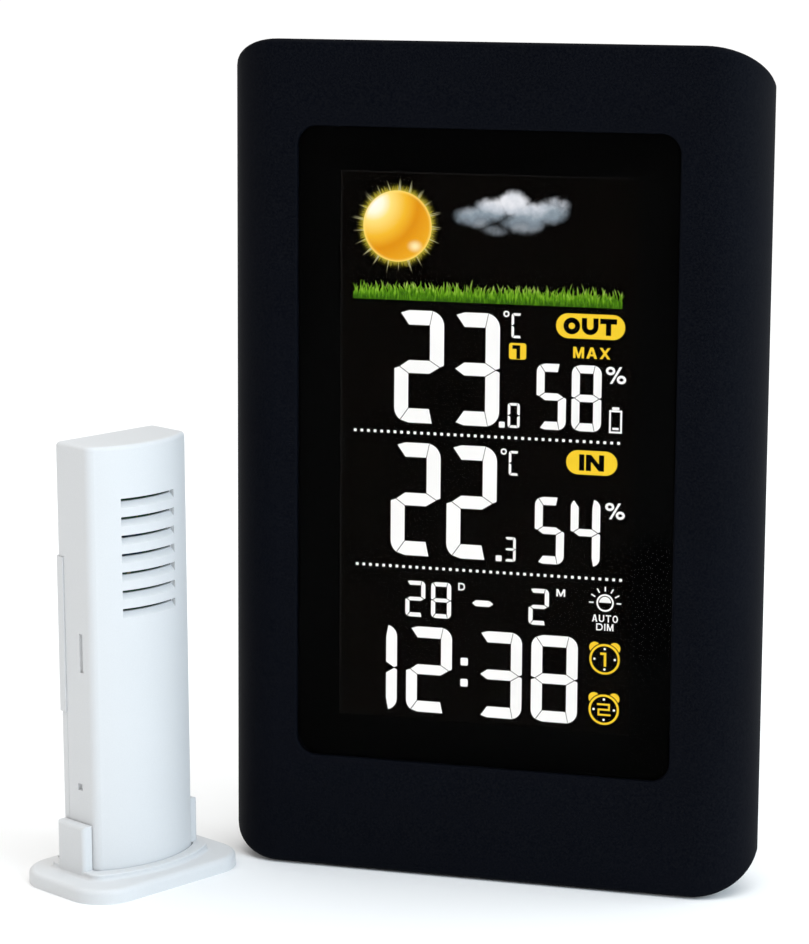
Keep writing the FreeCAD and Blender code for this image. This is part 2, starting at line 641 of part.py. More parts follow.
def kickstand_pad(leg):
    """The rubber boot on the leg's tip, worn flat where it meets the table."""
    end = LEG_L + BOOT_OVER
    boot = block(-BOOT_X, BOOT_X, end - BOOT_L, end, -BOOT_T / 2, BOOT_T / 2)
    boot = round_edges(boot, 0.8, lambda b: b.YMin > end - 0.01 and b.XLength > BOOT_X)
    table = block(-BODY_W, BODY_W, -BODY_W, BODY_W, -BODY_W, 0)
    return swing_leg(boot).cut([leg, table])


def foot_strip(shell):
    """The soft strip under the front edge, wedge-shaped to fill the slope and flat on the table."""
    blank = block(-38, 38, -3.6, 3.6, 0, 6.0, 1.5, "z")
    wedge = blank.cut(stand_up(front_body(0, FRONT_D)))
    lower = min(wedge.Solids, key=lambda s: s.CenterOfMass.z)
    return lower if lower.distToShape(shell)[0] < 0.5 else wedge


def case_screws():
    made = []
    for x, z in CASE_SCREWS:
        head = rounded_bar(2.6, (x, HEAD_SEAT_Y + 1.8, z), (x, HEAD_SEAT_Y, z), 0.5)
        cross = [
            block(x - a, x + a, HEAD_SEAT_Y + 0.8, HEAD_SEAT_Y + 2.5, z - b, z + b)
            for a, b in ((1.5, 0.3), (0.3, 1.5))
        ]
        screw = join([head, post(1.2, x, z, 5.6, HEAD_SEAT_Y)])
        made.append(screw.cut(cross[0]).cut(cross[1]))
    return Part.makeCompound(made)


def board_screws():
    made = []
    for x, z in BOARD_SCREWS:
        head = post(1.9, x, z, BOARD_BACK, BOARD_BACK + 1.2)
        slot = block(x - 1.2, x + 1.2, BOARD_BACK + 0.6, BOARD_BACK + 2, z - 0.25, z + 0.25)
        made.append(join([head, post(0.95, x, z, 6.4, BOARD_BACK)]).cut(slot))
    return Part.makeCompound(made)


# ---- outdoor sensor ----
def sensor_section(grow, z):
    """Its outline seen from above: flat back and sides, and a front that bows outwards."""
    half, back = SENSOR_W / 2 + grow, SENSOR_FLAT / 2 + grow
    front = -SENSOR_FLAT / 2 - grow
    return [
        (-half, front, z),
        ("arc", (0, front - SENSOR_BULGE, z), (half, front, z)),
        (half, back, z),
        (-half, back, z),
    ]


def sensor_body(grow=0.0, z0=0.0, z1=SENSOR_H):
    return prism(sensor_section(grow, z0), (0, 0, z1 - z0))


def sensor_outer():
    """The whole closed case: upright edges rounded, then the top and bottom rims."""
    body = sensor_body()
    body = round_edges(body, SENSOR_FRONT_R, lambda b: b.ZLength > SENSOR_H - 1 and b.YMax < 0)
    back = SENSOR_FLAT / 2 - 0.1
    body = round_edges(body, SENSOR_BACK_R, lambda b: b.ZLength > SENSOR_H - 1 and b.YMin > back)
    return round_edges(body, SENSOR_RIM_R, lambda b: b.ZLength < 0.01)


def sensor_inner():
    return sensor_body(-SENSOR_WALL, SENSOR_WALL, SENSOR_H - SENSOR_WALL)


def sensor_screw_posts(radius, y0, y1):
    return [post(radius, x, SENSOR_SCREW_Z, y0, y1) for x in (-SENSOR_SCREW_X, SENSOR_SCREW_X)]


def louvre(z):
    """The hollow of one vent: its floor slopes in along the bow of the front, to a slit under its top."""
    front = -SENSOR_FLAT / 2 - SENSOR_BULGE
    bow_r = ((SENSOR_W / 2) ** 2 + SENSOR_BULGE ** 2) / (2 * SENSOR_BULGE)
    low, slit_low = z - VENT_H, z - VENT_SLIT
    deep_r, axis_y = bow_r - VENT_DEPTH, front + bow_r
    hollow = block(-VENT_W / 2, VENT_W / 2, front - 1, front + 6, low, z)
    floor = Part.makeCone(bow_r, deep_r, slit_low - low, Vector(0, axis_y, low))
    back = Part.makeCylinder(deep_r, VENT_SLIT, Vector(0, axis_y, slit_low))
    slit = block(0.3 - VENT_W / 2, VENT_W / 2 - 0.3, front + 1, front + 5, slit_low, z)
    return [hollow.cut(floor).cut(back), slit]


def sensor_front_shell():
    space = block(-20, 20, -20, SENSOR_SPLIT_Y, -1, SENSOR_H + 1)
    shell = sensor_outer().cut(sensor_inner()).common(space)
    rail_x, grille_low = 12.1, VENT_TOP_Z - VENT_PITCH * VENTS
    rails = [block(s * rail_x - 0.6, s * rail_x + 0.6, -5.6, -2.75, 56, 92) for s in (-1, 1)]
    grille = sensor_body(-SENSOR_WALL + 0.1, grille_low, VENT_TOP_Z + 1.5)
    grille = grille.cut(sensor_body(-GRILLE_WALL, 0, SENSOR_H))
    grille = grille.common(block(-GRILLE_W / 2, GRILLE_W / 2, -20, -SENSOR_FLAT / 2, 0, SENSOR_H))
    shell = join([shell, grille, *sensor_screw_posts(1.9, -6.8, SENSOR_SPLIT_Y), *rails])
    cuts = sensor_screw_posts(0.75, -4.0, SENSOR_SPLIT_Y + 1)
    for i in range(VENTS):
        cuts += louvre(VENT_TOP_Z - VENT_PITCH * i)
    for s in (-1, 1):
        side = s * SENSOR_W / 2
        cuts.append(block(side - 0.7, side + 0.7, CATCH_Y - CATCH_W / 2, CATCH_Y + CATCH_W / 2,
                          CATCH_Z - CATCH_H / 2, CATCH_Z + CATCH_H / 2))
        cuts.append(block(side - 0.9, side + 0.9, PRESS_Y - PRESS_W / 2, PRESS_Y + PRESS_W / 2,
                          PRESS_Z - PRESS_W / 2, PRESS_Z + PRESS_W / 2))
    return cut_away(shell, cuts)


def door_space(gap):
    """The room that the sensor's battery door takes: the lower back and a strip of each side."""
    return block(-20, 20, DOOR_SPLIT_Y + gap, 20, DOOR_Z0 + gap, DOOR_Z1 - gap)


def sensor_rear_shell():
    space = block(-20, 20, SENSOR_SPLIT_Y, 20, -1, SENSOR_H + 1)
    shell = sensor_outer().cut(sensor_inner()).common(space).cut(door_space(0))
    shell = join([shell, *sensor_screw_posts(2.2, SENSOR_SPLIT_Y, SENSOR_FLAT / 2 - 0.5)])
    z, slot_r, rise = SENSOR_HANGER_Z, SENSOR_HANGER_R / 2, 5.0
    cuts = [
        post(SENSOR_HANGER_R, 0, z, 2, 10),
        block(-slot_r, slot_r, 2, 10, z, z + rise),
        post(slot_r, 0, z + rise, 2, 10),
    ]
    return cut_away(shell, cuts + sensor_screw_posts(0.95, 0, 10) + sensor_screw_posts(1.75, 3.0, 10))


def sensor_battery_door():
    door = sensor_outer().cut(sensor_inner()).common(door_space(0.08))
    proud = round_edges(sensor_body(DOOR_PROUD, DOOR_PROUD_Z0, DOOR_Z1 - 0.08), SENSOR_BACK_R,
                        lambda b: b.ZLength > 1 and b.YMin > SENSOR_FLAT / 2)
    proud = proud.cut(sensor_inner()).common(door_space(0.08))
    door = join([door, proud])
    for i in range(4):
        z = DOOR_Z1 - 6.0 - 2.4 * i
        door = door.cut(pad(0, z, 12.0, 1.0, SENSOR_FLAT / 2 - 0.5, 10, 0.45))
    return door


def sensor_board():
    return block(-12.4, 12.4, SENSOR_BOARD_Y0, SENSOR_BOARD_Y1, 56.0, 91.0)


def sensor_probe():
    """The temperature and humidity element, behind the vents."""
    y = SENSOR_BOARD_Y0
    base = pad(0, 75.0, 5.0, 6.0, y - 1.2, y)
    grid = [pad(0, 75.0 + 1.5 * i, 3.6, 0.7, y - 1.8, y - 1.2) for i in (-1, 0, 1)]
    return join([base, *grid])


def sensor_chips():
    y = SENSOR_BOARD_Y1
    big = pad(-3.5, 83.0, 6.0, 7.0, y, y + 1.3)
    crystal = pad(6.5, 84.0, 3.0, 8.0, y, y + 1.8, 1.2)
    return Part.makeCompound([big, crystal])


def sensor_antenna():
    return coil(1.5, 0.3, 6.0, (9.5, SENSOR_BOARD_Y1 + 1.9, 69.0), (0, 0, 1), 9.0)


def sensor_cells():
    return Part.makeCompound([
        one_cell((-5.6, -0.9, 7.2), (0, 0, 1)),
        one_cell((5.6, -0.9, 7.2 + CELL_L), (0, 0, -1)),
    ])


def sensor_contacts():
    return Part.makeCompound([
        block(-9.2, -2.0, -4.4, 2.6, 7.25 + CELL_L, 7.65 + CELL_L),
        block(2.0, 9.2, -4.4, 2.6, 6.75, 7.15),
        block(-9.2, -2.0, -4.4, 2.6, 1.5, 1.9),
        block(2.0, 9.2, -4.4, 2.6, 54.6, 55.0),
    ])


def sensor_springs():
    low = coil(2.6, 0.42, 4.0, (-5.6, -0.9, 1.95), (0, 0, 1), 5.2)
    high = coil(2.6, 0.42, 2.0, (5.6, -0.9, 54.55), (0, 0, -1), 54.55 - 7.2 - CELL_L - 0.05)
    return Part.makeCompound([low, high])


def transmit_switch():
    x, z = TX_AT
    base = pad(x, z, 4.6, 4.6, SENSOR_BOARD_Y1, SENSOR_BOARD_Y1 + 1.4)
    return base.cut(post(1.3, x, z, SENSOR_BOARD_Y1 + 0.4, 5))


def transmit_key():
    x, z = TX_AT
    return post(1.15, x, z, SENSOR_BOARD_Y1 + 1.1, SENSOR_BOARD_Y1 + 2.6)


def channel_switch():
    x, z = CHANNEL_AT
    y = SENSOR_BOARD_Y1
    case = pad(x, z, 9.0, 3.6, y, y + 2.0)
    return case.cut(pad(x, z, 6.6, 1.6, y + 0.8, y + 3))


def channel_slider():
    x, z = CHANNEL_AT
    y = SENSOR_BOARD_Y1
    return join([pad(x, z, 2.0, 1.4, y + 0.9, y + 2.2), pad(x, z, 1.4, 1.2, y + 2.2, y + 3.6)])


def sensor_screws():
    made = []
    for head, shank in zip(sensor_screw_posts(1.6, 3.0, 4.1), sensor_screw_posts(0.7, -3.4, 3.0)):
        slot = pad(head.CenterOfMass.x, SENSOR_SCREW_Z, 1.8, 0.4, 3.5, 5)
        made.append(join([head, shank]).cut(slot))
    return Part.makeCompound(made)


def stand_arm(side):
    """One upright of the sensor's stand. Its top and its two outer edges are rounded."""
    inner, top = SENSOR_W / 2 + SEAT_CLEAR - 0.1, PLATE_T + ARM_H
    x0, x1 = sorted((side * inner, side * (inner + ARM_T)))
    arm = block(x0, x1, -ARM_D / 2, ARM_D / 2, PLATE_T - 0.5, top)
    outer = side * (inner + ARM_T)

    def is_outer(box):
        return abs(box.XMin - outer) < 0.01 and abs(box.XMax - outer) < 0.01 and box.ZMax > PLATE_T

    return round_edges(arm, ARM_R, is_outer)


def sensor_stand():
    """The table stand: a rounded plate, a low tier that keeps the sensor in place, and two side arms."""
    front, back = PLATE_MID_Y - PLATE_D / 2, PLATE_MID_Y + PLATE_D / 2
    plate = block(-PLATE_W / 2, PLATE_W / 2, front, back, 0, PLATE_T, PLATE_R, "z")
    plate = round_edges(plate, PLATE_RIM_R, lambda b: b.ZMin > PLATE_T - 0.01)
    tier = sensor_body(TIER_RIM + SEAT_CLEAR, PLATE_T - 0.5, PLATE_T + TIER_H)
    tier = round_edges(tier, TIER_R, lambda b: b.ZLength > TIER_H)
    stand = join([plate, tier])
    reach = SENSOR_W / 2 + TIER_RIM + 0.5

    def is_tier_foot(box):
        level = max(abs(box.ZMin - PLATE_T), abs(box.ZMax - PLATE_T)) < 0.01
        inside = box.XMin > -reach and box.XMax < reach and box.YMin > front + 1 and box.YMax < back - 1
        return level and inside

    stand = round_edges(stand, TIER_BLEND, is_tier_foot)
    stand = round_edges(stand, 0.35, lambda b: b.ZMin > PLATE_T + TIER_H - 0.01)
    stand = join([stand, stand_arm(-1), stand_arm(1)])
    stand = stand.cut(sensor_body(SEAT_CLEAR, PLATE_T, PLATE_T + ARM_H + 5))
    for x in (-STAND_HOLE_X, STAND_HOLE_X):
        stand = stand.cut(Part.makeCylinder(STAND_HOLE_R, 20, Vector(x, STAND_HOLE_Y, -5)))
    return stand


# ---- placing and writing ----
def placed(shape, placement):
    moved = shape.copy()
    moved.Placement = placement.multiply(moved.Placement)
    return moved


def stand_up(shape):
    """Leans a piece of the display unit back and stands it on the table."""
    turn = FreeCAD.Rotation(Vector(1, 0, 0), -LEAN)
    return placed(shape, FreeCAD.Placement(Vector(0, FACE_Y, EDGE_LIFT), turn))


def set_down(shape, height=0.0):
    """Turns a piece of the sensor or its stand and sets it down beside the display unit."""
    turn = FreeCAD.Rotation(Vector(0, 0, 1), STAND_TURN)
    return placed(shape, FreeCAD.Placement(Vector(*STAND_AT, height), turn))


def save(name, shape):
    if not shape.isValid():
        print("not valid:", name)
    solids = shape.Solids
    if not solids:
        raise ValueError(f"{name} has no solid")
    kept = solids[0] if len(solids) == 1 else Part.makeCompound(solids)
    kept.exportStep(os.path.join("parts", name + ".step"))


def main():
    os.makedirs("parts", exist_ok=True)
    for old in os.listdir("parts"):
        os.remove(os.path.join("parts", old))
    upright = {
        "front_shell": front_shell(),
        "rear_shell": rear_shell(),
        "display_lens": display_lens(),
        "lens_mask": lens_mask(),
        "lcd_panel": lcd_panel(),
        "backlight_tray": backlight_tray(),
        "backlight_diffuser": backlight_diffuser(),
        "backlight_leds": backlight_leds(),
        "zebra_connector": zebra_connector(),
        "main_board": main_board(),
        "key_switches": key_switches(),
        "snooze_switch": snooze_switch(),
        "controller_chip": controller_chip(),
        "receiver_module": receiver_module(),
        "receiver_antenna": receiver_antenna(),
        "time_antenna_rod": time_antenna_rod(),
        "time_antenna_coil": time_antenna_coil(),
        "buzzer": buzzer(),
        "climate_sensor": climate_sensor(),
        "light_sensor": light_sensor(),
        "dc_jack": dc_jack(),
        "battery_cells": battery_cells(),
        "battery_contacts": battery_contacts(),
        "battery_springs": battery_springs(),
        "battery_door": battery_door(),
        "snooze_bar": snooze_bar(),
        "kickstand_pin": leg_pin(),
        "case_screws": case_screws(),
        "board_screws": board_screws(),
    }
    for i, name in enumerate(KEY_NAMES):
        upright[name] = rear_key(i)
    for name, shape in upright.items():
        save(name, stand_up(shape))
    leg = kickstand()
    save("kickstand", leg)
    save("kickstand_pad", kickstand_pad(leg))
    save("foot_strip", foot_strip(stand_up(upright["front_shell"])))
    on_plate = {
        "sensor_front_shell": sensor_front_shell(),
        "sensor_rear_shell": sensor_rear_shell(),
        "sensor_battery_door": sensor_battery_door(),
        "sensor_board": sensor_board(),
        "sensor_probe": sensor_probe(),
        "sensor_chips": sensor_chips(),
        "sensor_antenna": sensor_antenna(),
        "sensor_cells": sensor_cells(),
        "sensor_contacts": sensor_contacts(),
        "sensor_springs": sensor_springs(),
        "transmit_switch": transmit_switch(),
        "transmit_key": transmit_key(),
        "channel_switch": channel_switch(),
        "channel_slider": channel_slider(),
        "sensor_screws": sensor_screws(),
    }
    for name, shape in on_plate.items():
        save(name, set_down(shape, PLATE_T + 0.02))
    save("sensor_stand", set_down(sensor_stand()))
    y, z = leg_axis_on_table()
    print(f"leg axis y {y:.4f} z {z:.4f}, open leg {leg_angle():.4f} degrees below horizontal")


main()
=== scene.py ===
import json
import math
import random

import bmesh
import bpy
from mathutils import Matrix, Vector


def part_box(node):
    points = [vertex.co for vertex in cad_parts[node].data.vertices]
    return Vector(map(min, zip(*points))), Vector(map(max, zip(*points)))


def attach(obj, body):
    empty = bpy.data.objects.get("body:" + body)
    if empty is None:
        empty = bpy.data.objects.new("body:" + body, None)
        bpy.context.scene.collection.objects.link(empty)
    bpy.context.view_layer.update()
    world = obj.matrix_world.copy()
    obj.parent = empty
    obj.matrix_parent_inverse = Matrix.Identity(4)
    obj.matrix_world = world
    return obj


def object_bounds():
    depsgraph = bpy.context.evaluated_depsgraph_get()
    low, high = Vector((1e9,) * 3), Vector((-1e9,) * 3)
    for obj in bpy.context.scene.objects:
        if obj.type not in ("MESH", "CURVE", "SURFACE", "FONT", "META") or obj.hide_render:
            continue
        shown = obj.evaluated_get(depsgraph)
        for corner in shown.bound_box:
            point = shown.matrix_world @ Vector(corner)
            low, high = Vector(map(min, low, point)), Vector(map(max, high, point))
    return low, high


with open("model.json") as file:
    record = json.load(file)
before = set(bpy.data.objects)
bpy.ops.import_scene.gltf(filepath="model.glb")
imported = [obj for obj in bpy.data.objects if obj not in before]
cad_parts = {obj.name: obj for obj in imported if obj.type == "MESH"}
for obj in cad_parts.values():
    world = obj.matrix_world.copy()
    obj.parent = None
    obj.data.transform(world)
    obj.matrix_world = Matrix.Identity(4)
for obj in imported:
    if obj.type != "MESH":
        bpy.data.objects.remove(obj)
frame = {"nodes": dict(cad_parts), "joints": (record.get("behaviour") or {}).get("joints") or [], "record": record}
cad_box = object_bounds()

# The looks of the home weather station: materials, the lit artwork of its screen, the printed marks on its
# back, and the light, the floor and the camera.
MM = 0.001
random.seed(7)

# ---- directions and planes of the display unit, from its own joints and nodes ----
AXES = {j["name"]: Vector(j["axis"]) for j in frame["joints"]}
RIGHT = Vector((1, 0, 0))
BACK = AXES["battery_door_off"]
UP = -AXES["snooze_press"]
DISPLAY = "display_unit"


def extent(node, way):
    """Lowest and highest reach of a CAD node along a direction, in metres."""
    reach = [v.co.dot(way) for v in frame["nodes"][node].data.vertices]
    return min(reach), max(reach)


WINDOW_MID = sum(extent("display_lens", UP)) / 2
SCREEN_FRONT = extent("lcd_panel", BACK)[0]
REAR_FACE = extent("rear_shell", BACK)[1]

# ---- layout of the artwork, in millimetres from the middle of the window ----
ART_T = 0.04            # thickness of every printed or lit shape
ART_GAP = 0.03          # the nearest layer stands this far off the screen's glass
LAYER = 0.05            # from one layer of artwork to the next

SUN_AT, SUN_R, SUN_HALO = (-21.0, 50.2), 8.0, 1.22     # the halo's reach is in radii of the sun
CLOUD_AT = (5.6, 53.4)
GRASS_X0, GRASS_X1, GRASS_Z = -31.3, 30.8, 33.6
OUT_ROW, IN_ROW, DATE_ROW, TIME_ROW = 5.8, -24.7, -38.85, -60.8        # the feet of the rows of figures
DOTS_OUT, DOTS_IN = 3.6, -27.3
DOTS, DOT_HALF, DOT_ROUND = 40, 0.33, 0.16
ICON_X = 28.1           # middle of the column of small icons
DIMMER_Z, ALARM_ONE_Z, ALARM_TWO_Z = -32.7, -45.6, -57.2
SCREEN_HALF_W, SCREEN_HALF_H, SCREEN_MID = 34.15, 62.5, -0.15

# Width, height and stroke of each kind of figure, and the pitch of a pair where there is one.
OUT_TENS, OUT_TENTH, OUT_HUMID = (11.75, 25.7, 3.45, 12.95), (2.9, 5.75, 0.72), (6.95, 15.0, 2.0, 8.05)
IN_TENS, IN_TENTH, IN_HUMID = (11.85, 26.1, 3.45, 13.15), (2.85, 5.75, 0.72), (6.95, 15.4, 2.0, 8.25)
DATE_DAY = (4.9, 8.5, 1.15, 6.1)
HOUR_ONE, HOUR_TWO, MINUTES = (11.2, 20.0, 2.75), (11.0, 20.1, 2.75), (10.95, 20.2, 2.75, 12.95)
SEGMENT_GAP, SMALL_GAP, UNIT_GAP = 0.17, 0.12, 0.10
PERCENT_LINE, LABEL_LINE, SMALL_LINE, FINE_LINE, PILL_LINE = 0.58, 0.52, 0.36, 0.27, 1.18

WHITE_GLOW, YELLOW_GLOW = (1.0, 1.0, 0.985), (0.93, 0.63, 0.032)
SCREEN_DARK = (0.0012, 0.0006, 0.0003)


# ---- materials ----
class Shader:
    """A node material with one Principled shader, and short ways to add nodes to it."""

    def __init__(self, name, **constants):
        self.material = bpy.data.materials.new(name)
        self.material.use_nodes = True
        self.tree = self.material.node_tree
        self.main = self.tree.nodes["Principled BSDF"]
        for socket, value in constants.items():
            self.set(socket.replace("_", " "), value)

    def set(self, socket, value):
        found = next(s for s in self.main.inputs if s.name.lower() == socket.lower())
        if isinstance(value, bpy.types.NodeSocket):
            self.tree.links.new(value, found)
        elif hasattr(found.default_value, "__len__") and len(value) == 3 and len(found.default_value) == 4:
            found.default_value = (*value, 1.0)
        else:
            found.default_value = value

    def node(self, kind, inputs=None, **settings):
        made = self.tree.nodes.new(kind)
        for key, value in settings.items():
            setattr(made, key, value)
        for key, value in (inputs or {}).items():
            if isinstance(value, bpy.types.NodeSocket):
                self.tree.links.new(value, made.inputs[key])
            else:
                made.inputs[key].default_value = value
        return made

    def place(self):
        """Position in the object's own frame, in millimetres."""
        coords = self.node("ShaderNodeTexCoord").outputs["Object"]
        scaled = self.node("ShaderNodeVectorMath", {0: coords, 3: 1 / MM}, operation="SCALE")
        return scaled.outputs[0]

    def noise(self, scale, detail=2.0, rough=0.5, where=None):
        inputs = {"Vector": where or self.place(), "Scale": scale, "Detail": detail, "Roughness": rough}
        return self.node("ShaderNodeTexNoise", inputs).outputs["Fac"]

    def math(self, operation, a, b=0.0, clamp=False):
        return self.node("ShaderNodeMath", {0: a, 1: b}, operation=operation, use_clamp=clamp).outputs[0]

    def remap(self, value, low, high, to_low=0.0, to_high=1.0, smooth=False):
        inputs = {"Value": value, "From Min": low, "From Max": high, "To Min": to_low, "To Max": to_high}
        kind = "SMOOTHSTEP" if smooth else "LINEAR"
        return self.node("ShaderNodeMapRange", inputs, interpolation_type=kind).outputs["Result"]

    def blend(self, share, a, b, how="MIX"):
        made = self.node("ShaderNodeMix", data_type="RGBA", blend_type=how)
        sockets = {0: share, 6: a, 7: b}
        for index, value in sockets.items():
            if isinstance(value, bpy.types.NodeSocket):
                self.tree.links.new(value, made.inputs[index])
            elif isinstance(value, tuple):
                made.inputs[index].default_value = (*value, 1.0)
            else:
                made.inputs[index].default_value = value
        return made.outputs[2]

    def ramp(self, value, stops):
        made = self.node("ShaderNodeValToRGB", {"Fac": value})
        points = made.color_ramp.elements
        while len(points) < len(stops):
            points.new(0.5)
        for point, (at, colour) in zip(points, stops):
            point.position = at
            point.color = (*colour, 1.0)
        return made.outputs["Color"]

    def bump(self, height, strength, distance_mm):
        inputs = {"Height": height, "Strength": strength, "Distance": distance_mm * MM}
        self.set("normal", self.node("ShaderNodeBump", inputs).outputs["Normal"])

    def along(self, way, zero=0.0):
        """How far a point lies along a direction, in millimetres past zero."""
        dot = self.node("ShaderNodeVectorMath", {0: self.place(), 1: way}, operation="DOT_PRODUCT")
        return self.math("SUBTRACT", dot.outputs["Value"], zero)

    def off(self, x, z, at, size=1.0, squash=1.0):
        """Distance from a spot of the screen, in units of size."""
        across = self.math("MULTIPLY", self.math("SUBTRACT", x, at[0]), 1 / size)
        along = self.math("MULTIPLY", self.math("SUBTRACT", z, at[1]), 1 / (size * squash))
        both = self.node("ShaderNodeCombineXYZ", {0: across, 1: along}).outputs[0]
        return self.node("ShaderNodeVectorMath", {0: both}, operation="LENGTH").outputs["Value"]


def moulded(name, colour, rough, specular=0.5, grain=0.3, depth=0.03, drift=0.12, flecks=None, coat=0.0):
    """Moulded plastic or rubber: a fine grain in its surface and a slight drift of its colour and gloss."""
    s = Shader(name, specular_ior_level=specular, coat_weight=coat)
    fine = s.noise(1 / grain, 3.0, 0.6)
    broad = s.noise(0.035, 4.0)
    dark = tuple(c * (1 - drift) for c in colour)
    light = tuple(min(1.0, c * (1 + drift)) for c in colour)
    tint = s.blend(s.remap(broad, 0.3, 0.7), dark, light)
    grey = sum(colour) / 3 * (flecks or drift)
    speck = s.remap(fine, 0.35, 0.68, -grey, grey)
    specks = s.node("ShaderNodeCombineColor", {0: speck, 1: speck, 2: speck}).outputs[0]
    s.set("base color", s.blend(1.0, tint, specks, "ADD"))
    spread = s.math("ADD", s.remap(fine, 0.3, 0.7, -0.06, 0.06), s.remap(broad, 0.3, 0.7, -0.03, 0.03))
    s.set("roughness", s.math("ADD", spread, rough, clamp=True))
    s.bump(fine, 0.35, depth)
    return s.material


def metal(name, colour, rough, streak=(1.0, 1.0, 1.0)):
    """Plated or drawn metal, with fine streaks across one direction and small stains."""
    s = Shader(name, metallic=1.0)
    stretched = s.node("ShaderNodeMapping", {"Vector": s.place(), "Scale": streak}).outputs[0]
    lines = s.noise(3.0, 4.0, 0.6, stretched)
    stains = s.noise(0.2, 3.0)
    s.set("base color", s.blend(s.remap(stains, 0.35, 0.75), colour, tuple(c * 0.72 for c in colour)))
    s.set("roughness", s.math("ADD", s.remap(lines, 0.3, 0.7, -0.09, 0.12), rough, clamp=True))
    s.bump(lines, 0.2, 0.02)
    return s.material


def clear_window():
    """Clear acrylic with an anti-glare surface."""
    s = Shader("clear_window", transmission_weight=1.0, ior=1.05, specular_ior_level=0.5)
    smudges = s.noise(0.02, 5.0, 0.55)
    s.set("base color", s.blend(s.remap(smudges, 0.4, 0.8), (0.985, 0.985, 0.985), (0.95, 0.955, 0.96)))
    s.set("roughness", s.remap(smudges, 0.45, 0.8, 0.0, 0.018))
    return s.material


def screen_glass():
    """The dark ground of a negative screen, with the faint mesh of its dye layer."""
    s = Shader("screen_glass", specular_ior_level=0.012)
    cloudy = s.noise(0.05, 3.0)
    dark, darker = (0.0012, 0.0005, 0.0002), (0.0008, 0.0004, 0.0001)
    s.set("base color", s.blend(s.remap(cloudy, 0.3, 0.7), dark, darker))
    s.set("roughness", s.remap(s.noise(2.0, 2.0), 0.3, 0.7, 0.18, 0.26))
    return s.material


def board_face(name, colour, mask=(0.55, 0.40, 0.10)):
    """Solder mask over a web of traces, with bright pads."""
    s = Shader(name, specular_ior_level=0.5, coat_weight=0.25)
    where = s.place()
    cells = s.node("ShaderNodeTexVoronoi", {"Vector": where, "Scale": 0.42}, feature="DISTANCE_TO_EDGE",
                   distance="MANHATTAN").outputs["Distance"]
    trace = s.remap(cells, 0.05, 0.075, 1.0, 0.0)
    pads = s.node("ShaderNodeTexVoronoi", {"Vector": where, "Scale": 0.30}, distance="CHEBYCHEV")
    pad = s.remap(pads.outputs["Distance"], 0.13, 0.15, 1.0, 0.0)
    lighter = tuple(min(1.0, c * 1.9 + 0.01) for c in colour)
    s.set("base color", s.blend(pad, s.blend(trace, colour, lighter), mask))
    s.set("metallic", pad)
    s.set("roughness", s.remap(s.noise(1.0, 3.0), 0.3, 0.7, 0.28, 0.42))
    s.bump(s.math("ADD", trace, pad), 0.4, 0.05)
    return s.material


def cell_jacket(name, way, half, mid):
    """A battery's printed jacket: two bands of colour, a thin light line between them, and bright ends."""
    s = Shader(name, coat_weight=0.4, coat_roughness=0.12)
    along = s.along(way, mid)
    ends = s.math("GREATER_THAN", s.math("ABSOLUTE", along), half - 1.2)
    band = s.remap(along, half * 0.30, half * 0.31)
    past, before = s.math("GREATER_THAN", along, half * 0.24), s.math("LESS_THAN", along, half * 0.31)
    line = s.math("MULTIPLY", past, before)
    wear = s.noise(0.5, 4.0)
    jacket = s.blend(band, (0.012, 0.055, 0.26), (0.45, 0.47, 0.50))
    jacket = s.blend(line, jacket, (0.85, 0.85, 0.83))
    jacket = s.blend(s.remap(wear, 0.62, 0.75, 0.0, 0.25), jacket, (0.20, 0.24, 0.32))
    s.set("base color", s.blend(ends, jacket, (0.66, 0.66, 0.64)))
    s.set("metallic", s.math("MAXIMUM", ends, s.math("MULTIPLY", band, 0.5)))
    s.set("roughness", s.remap(wear, 0.3, 0.7, 0.20, 0.34))
    s.bump(wear, 0.1, 0.02)
    return s.material


def lit_shader(name, strength=1.0):
    """A shader for what the screen shows: as dark as the screen until light is added."""
    return Shader(name, base_color=SCREEN_DARK, specular_ior_level=0.012, roughness=0.22,
                  emission_strength=strength)


def glowing(name, colour, strength):
    """A lit shape of the screen. The light behind it is very slightly uneven."""
    s = lit_shader(name, strength)
    uneven = s.remap(s.noise(0.09, 2.0), 0.3, 0.7, 0.95, 1.0)
    level = s.node("ShaderNodeCombineColor", {0: uneven, 1: uneven, 2: uneven}).outputs[0]
    s.set("emission color", s.blend(1.0, colour, level, "MULTIPLY"))
    return s.material


def screen_place(s):
    """X and Z on the screen, in millimetres from the middle of the window."""
    return s.along(RIGHT), s.along(UP, WINDOW_MID / MM)


def sun_face():
    """A glossy ball of amber light: pale at its upper left, deep at its lower right, with a bright rim."""
    s = lit_shader("sun_face", 1.05)
    x, z = screen_place(s)
    from_shine = s.off(x, z, (SUN_AT[0] - SUN_R * 0.72, SUN_AT[1] + SUN_R * 0.66), SUN_R * 2.0)
    ball = s.ramp(from_shine, [
        (0.00, (1.0, 1.0, 0.94)), (0.15, (1.0, 0.96, 0.72)), (0.27, (1.0, 0.75, 0.20)),
        (0.48, (0.90, 0.49, 0.030)), (0.66, (0.74, 0.28, 0.006)), (0.98, (0.86, 0.42, 0.020)),
    ])
    spot = s.remap(s.off(x, z, (SUN_AT[0] + SUN_R * 0.52, SUN_AT[1] - SUN_R * 0.55), SUN_R, 0.8), 0.0, 0.28,
                   1.0, 0.0, smooth=True)
    rim = s.remap(s.off(x, z, SUN_AT, SUN_R), 0.90, 1.0, 0.0, 0.75, smooth=True)
    lit = s.blend(spot, ball, (1.0, 0.83, 0.42))
    s.set("emission color", s.blend(rim, lit, (1.0, 0.72, 0.16)))
    return s.material


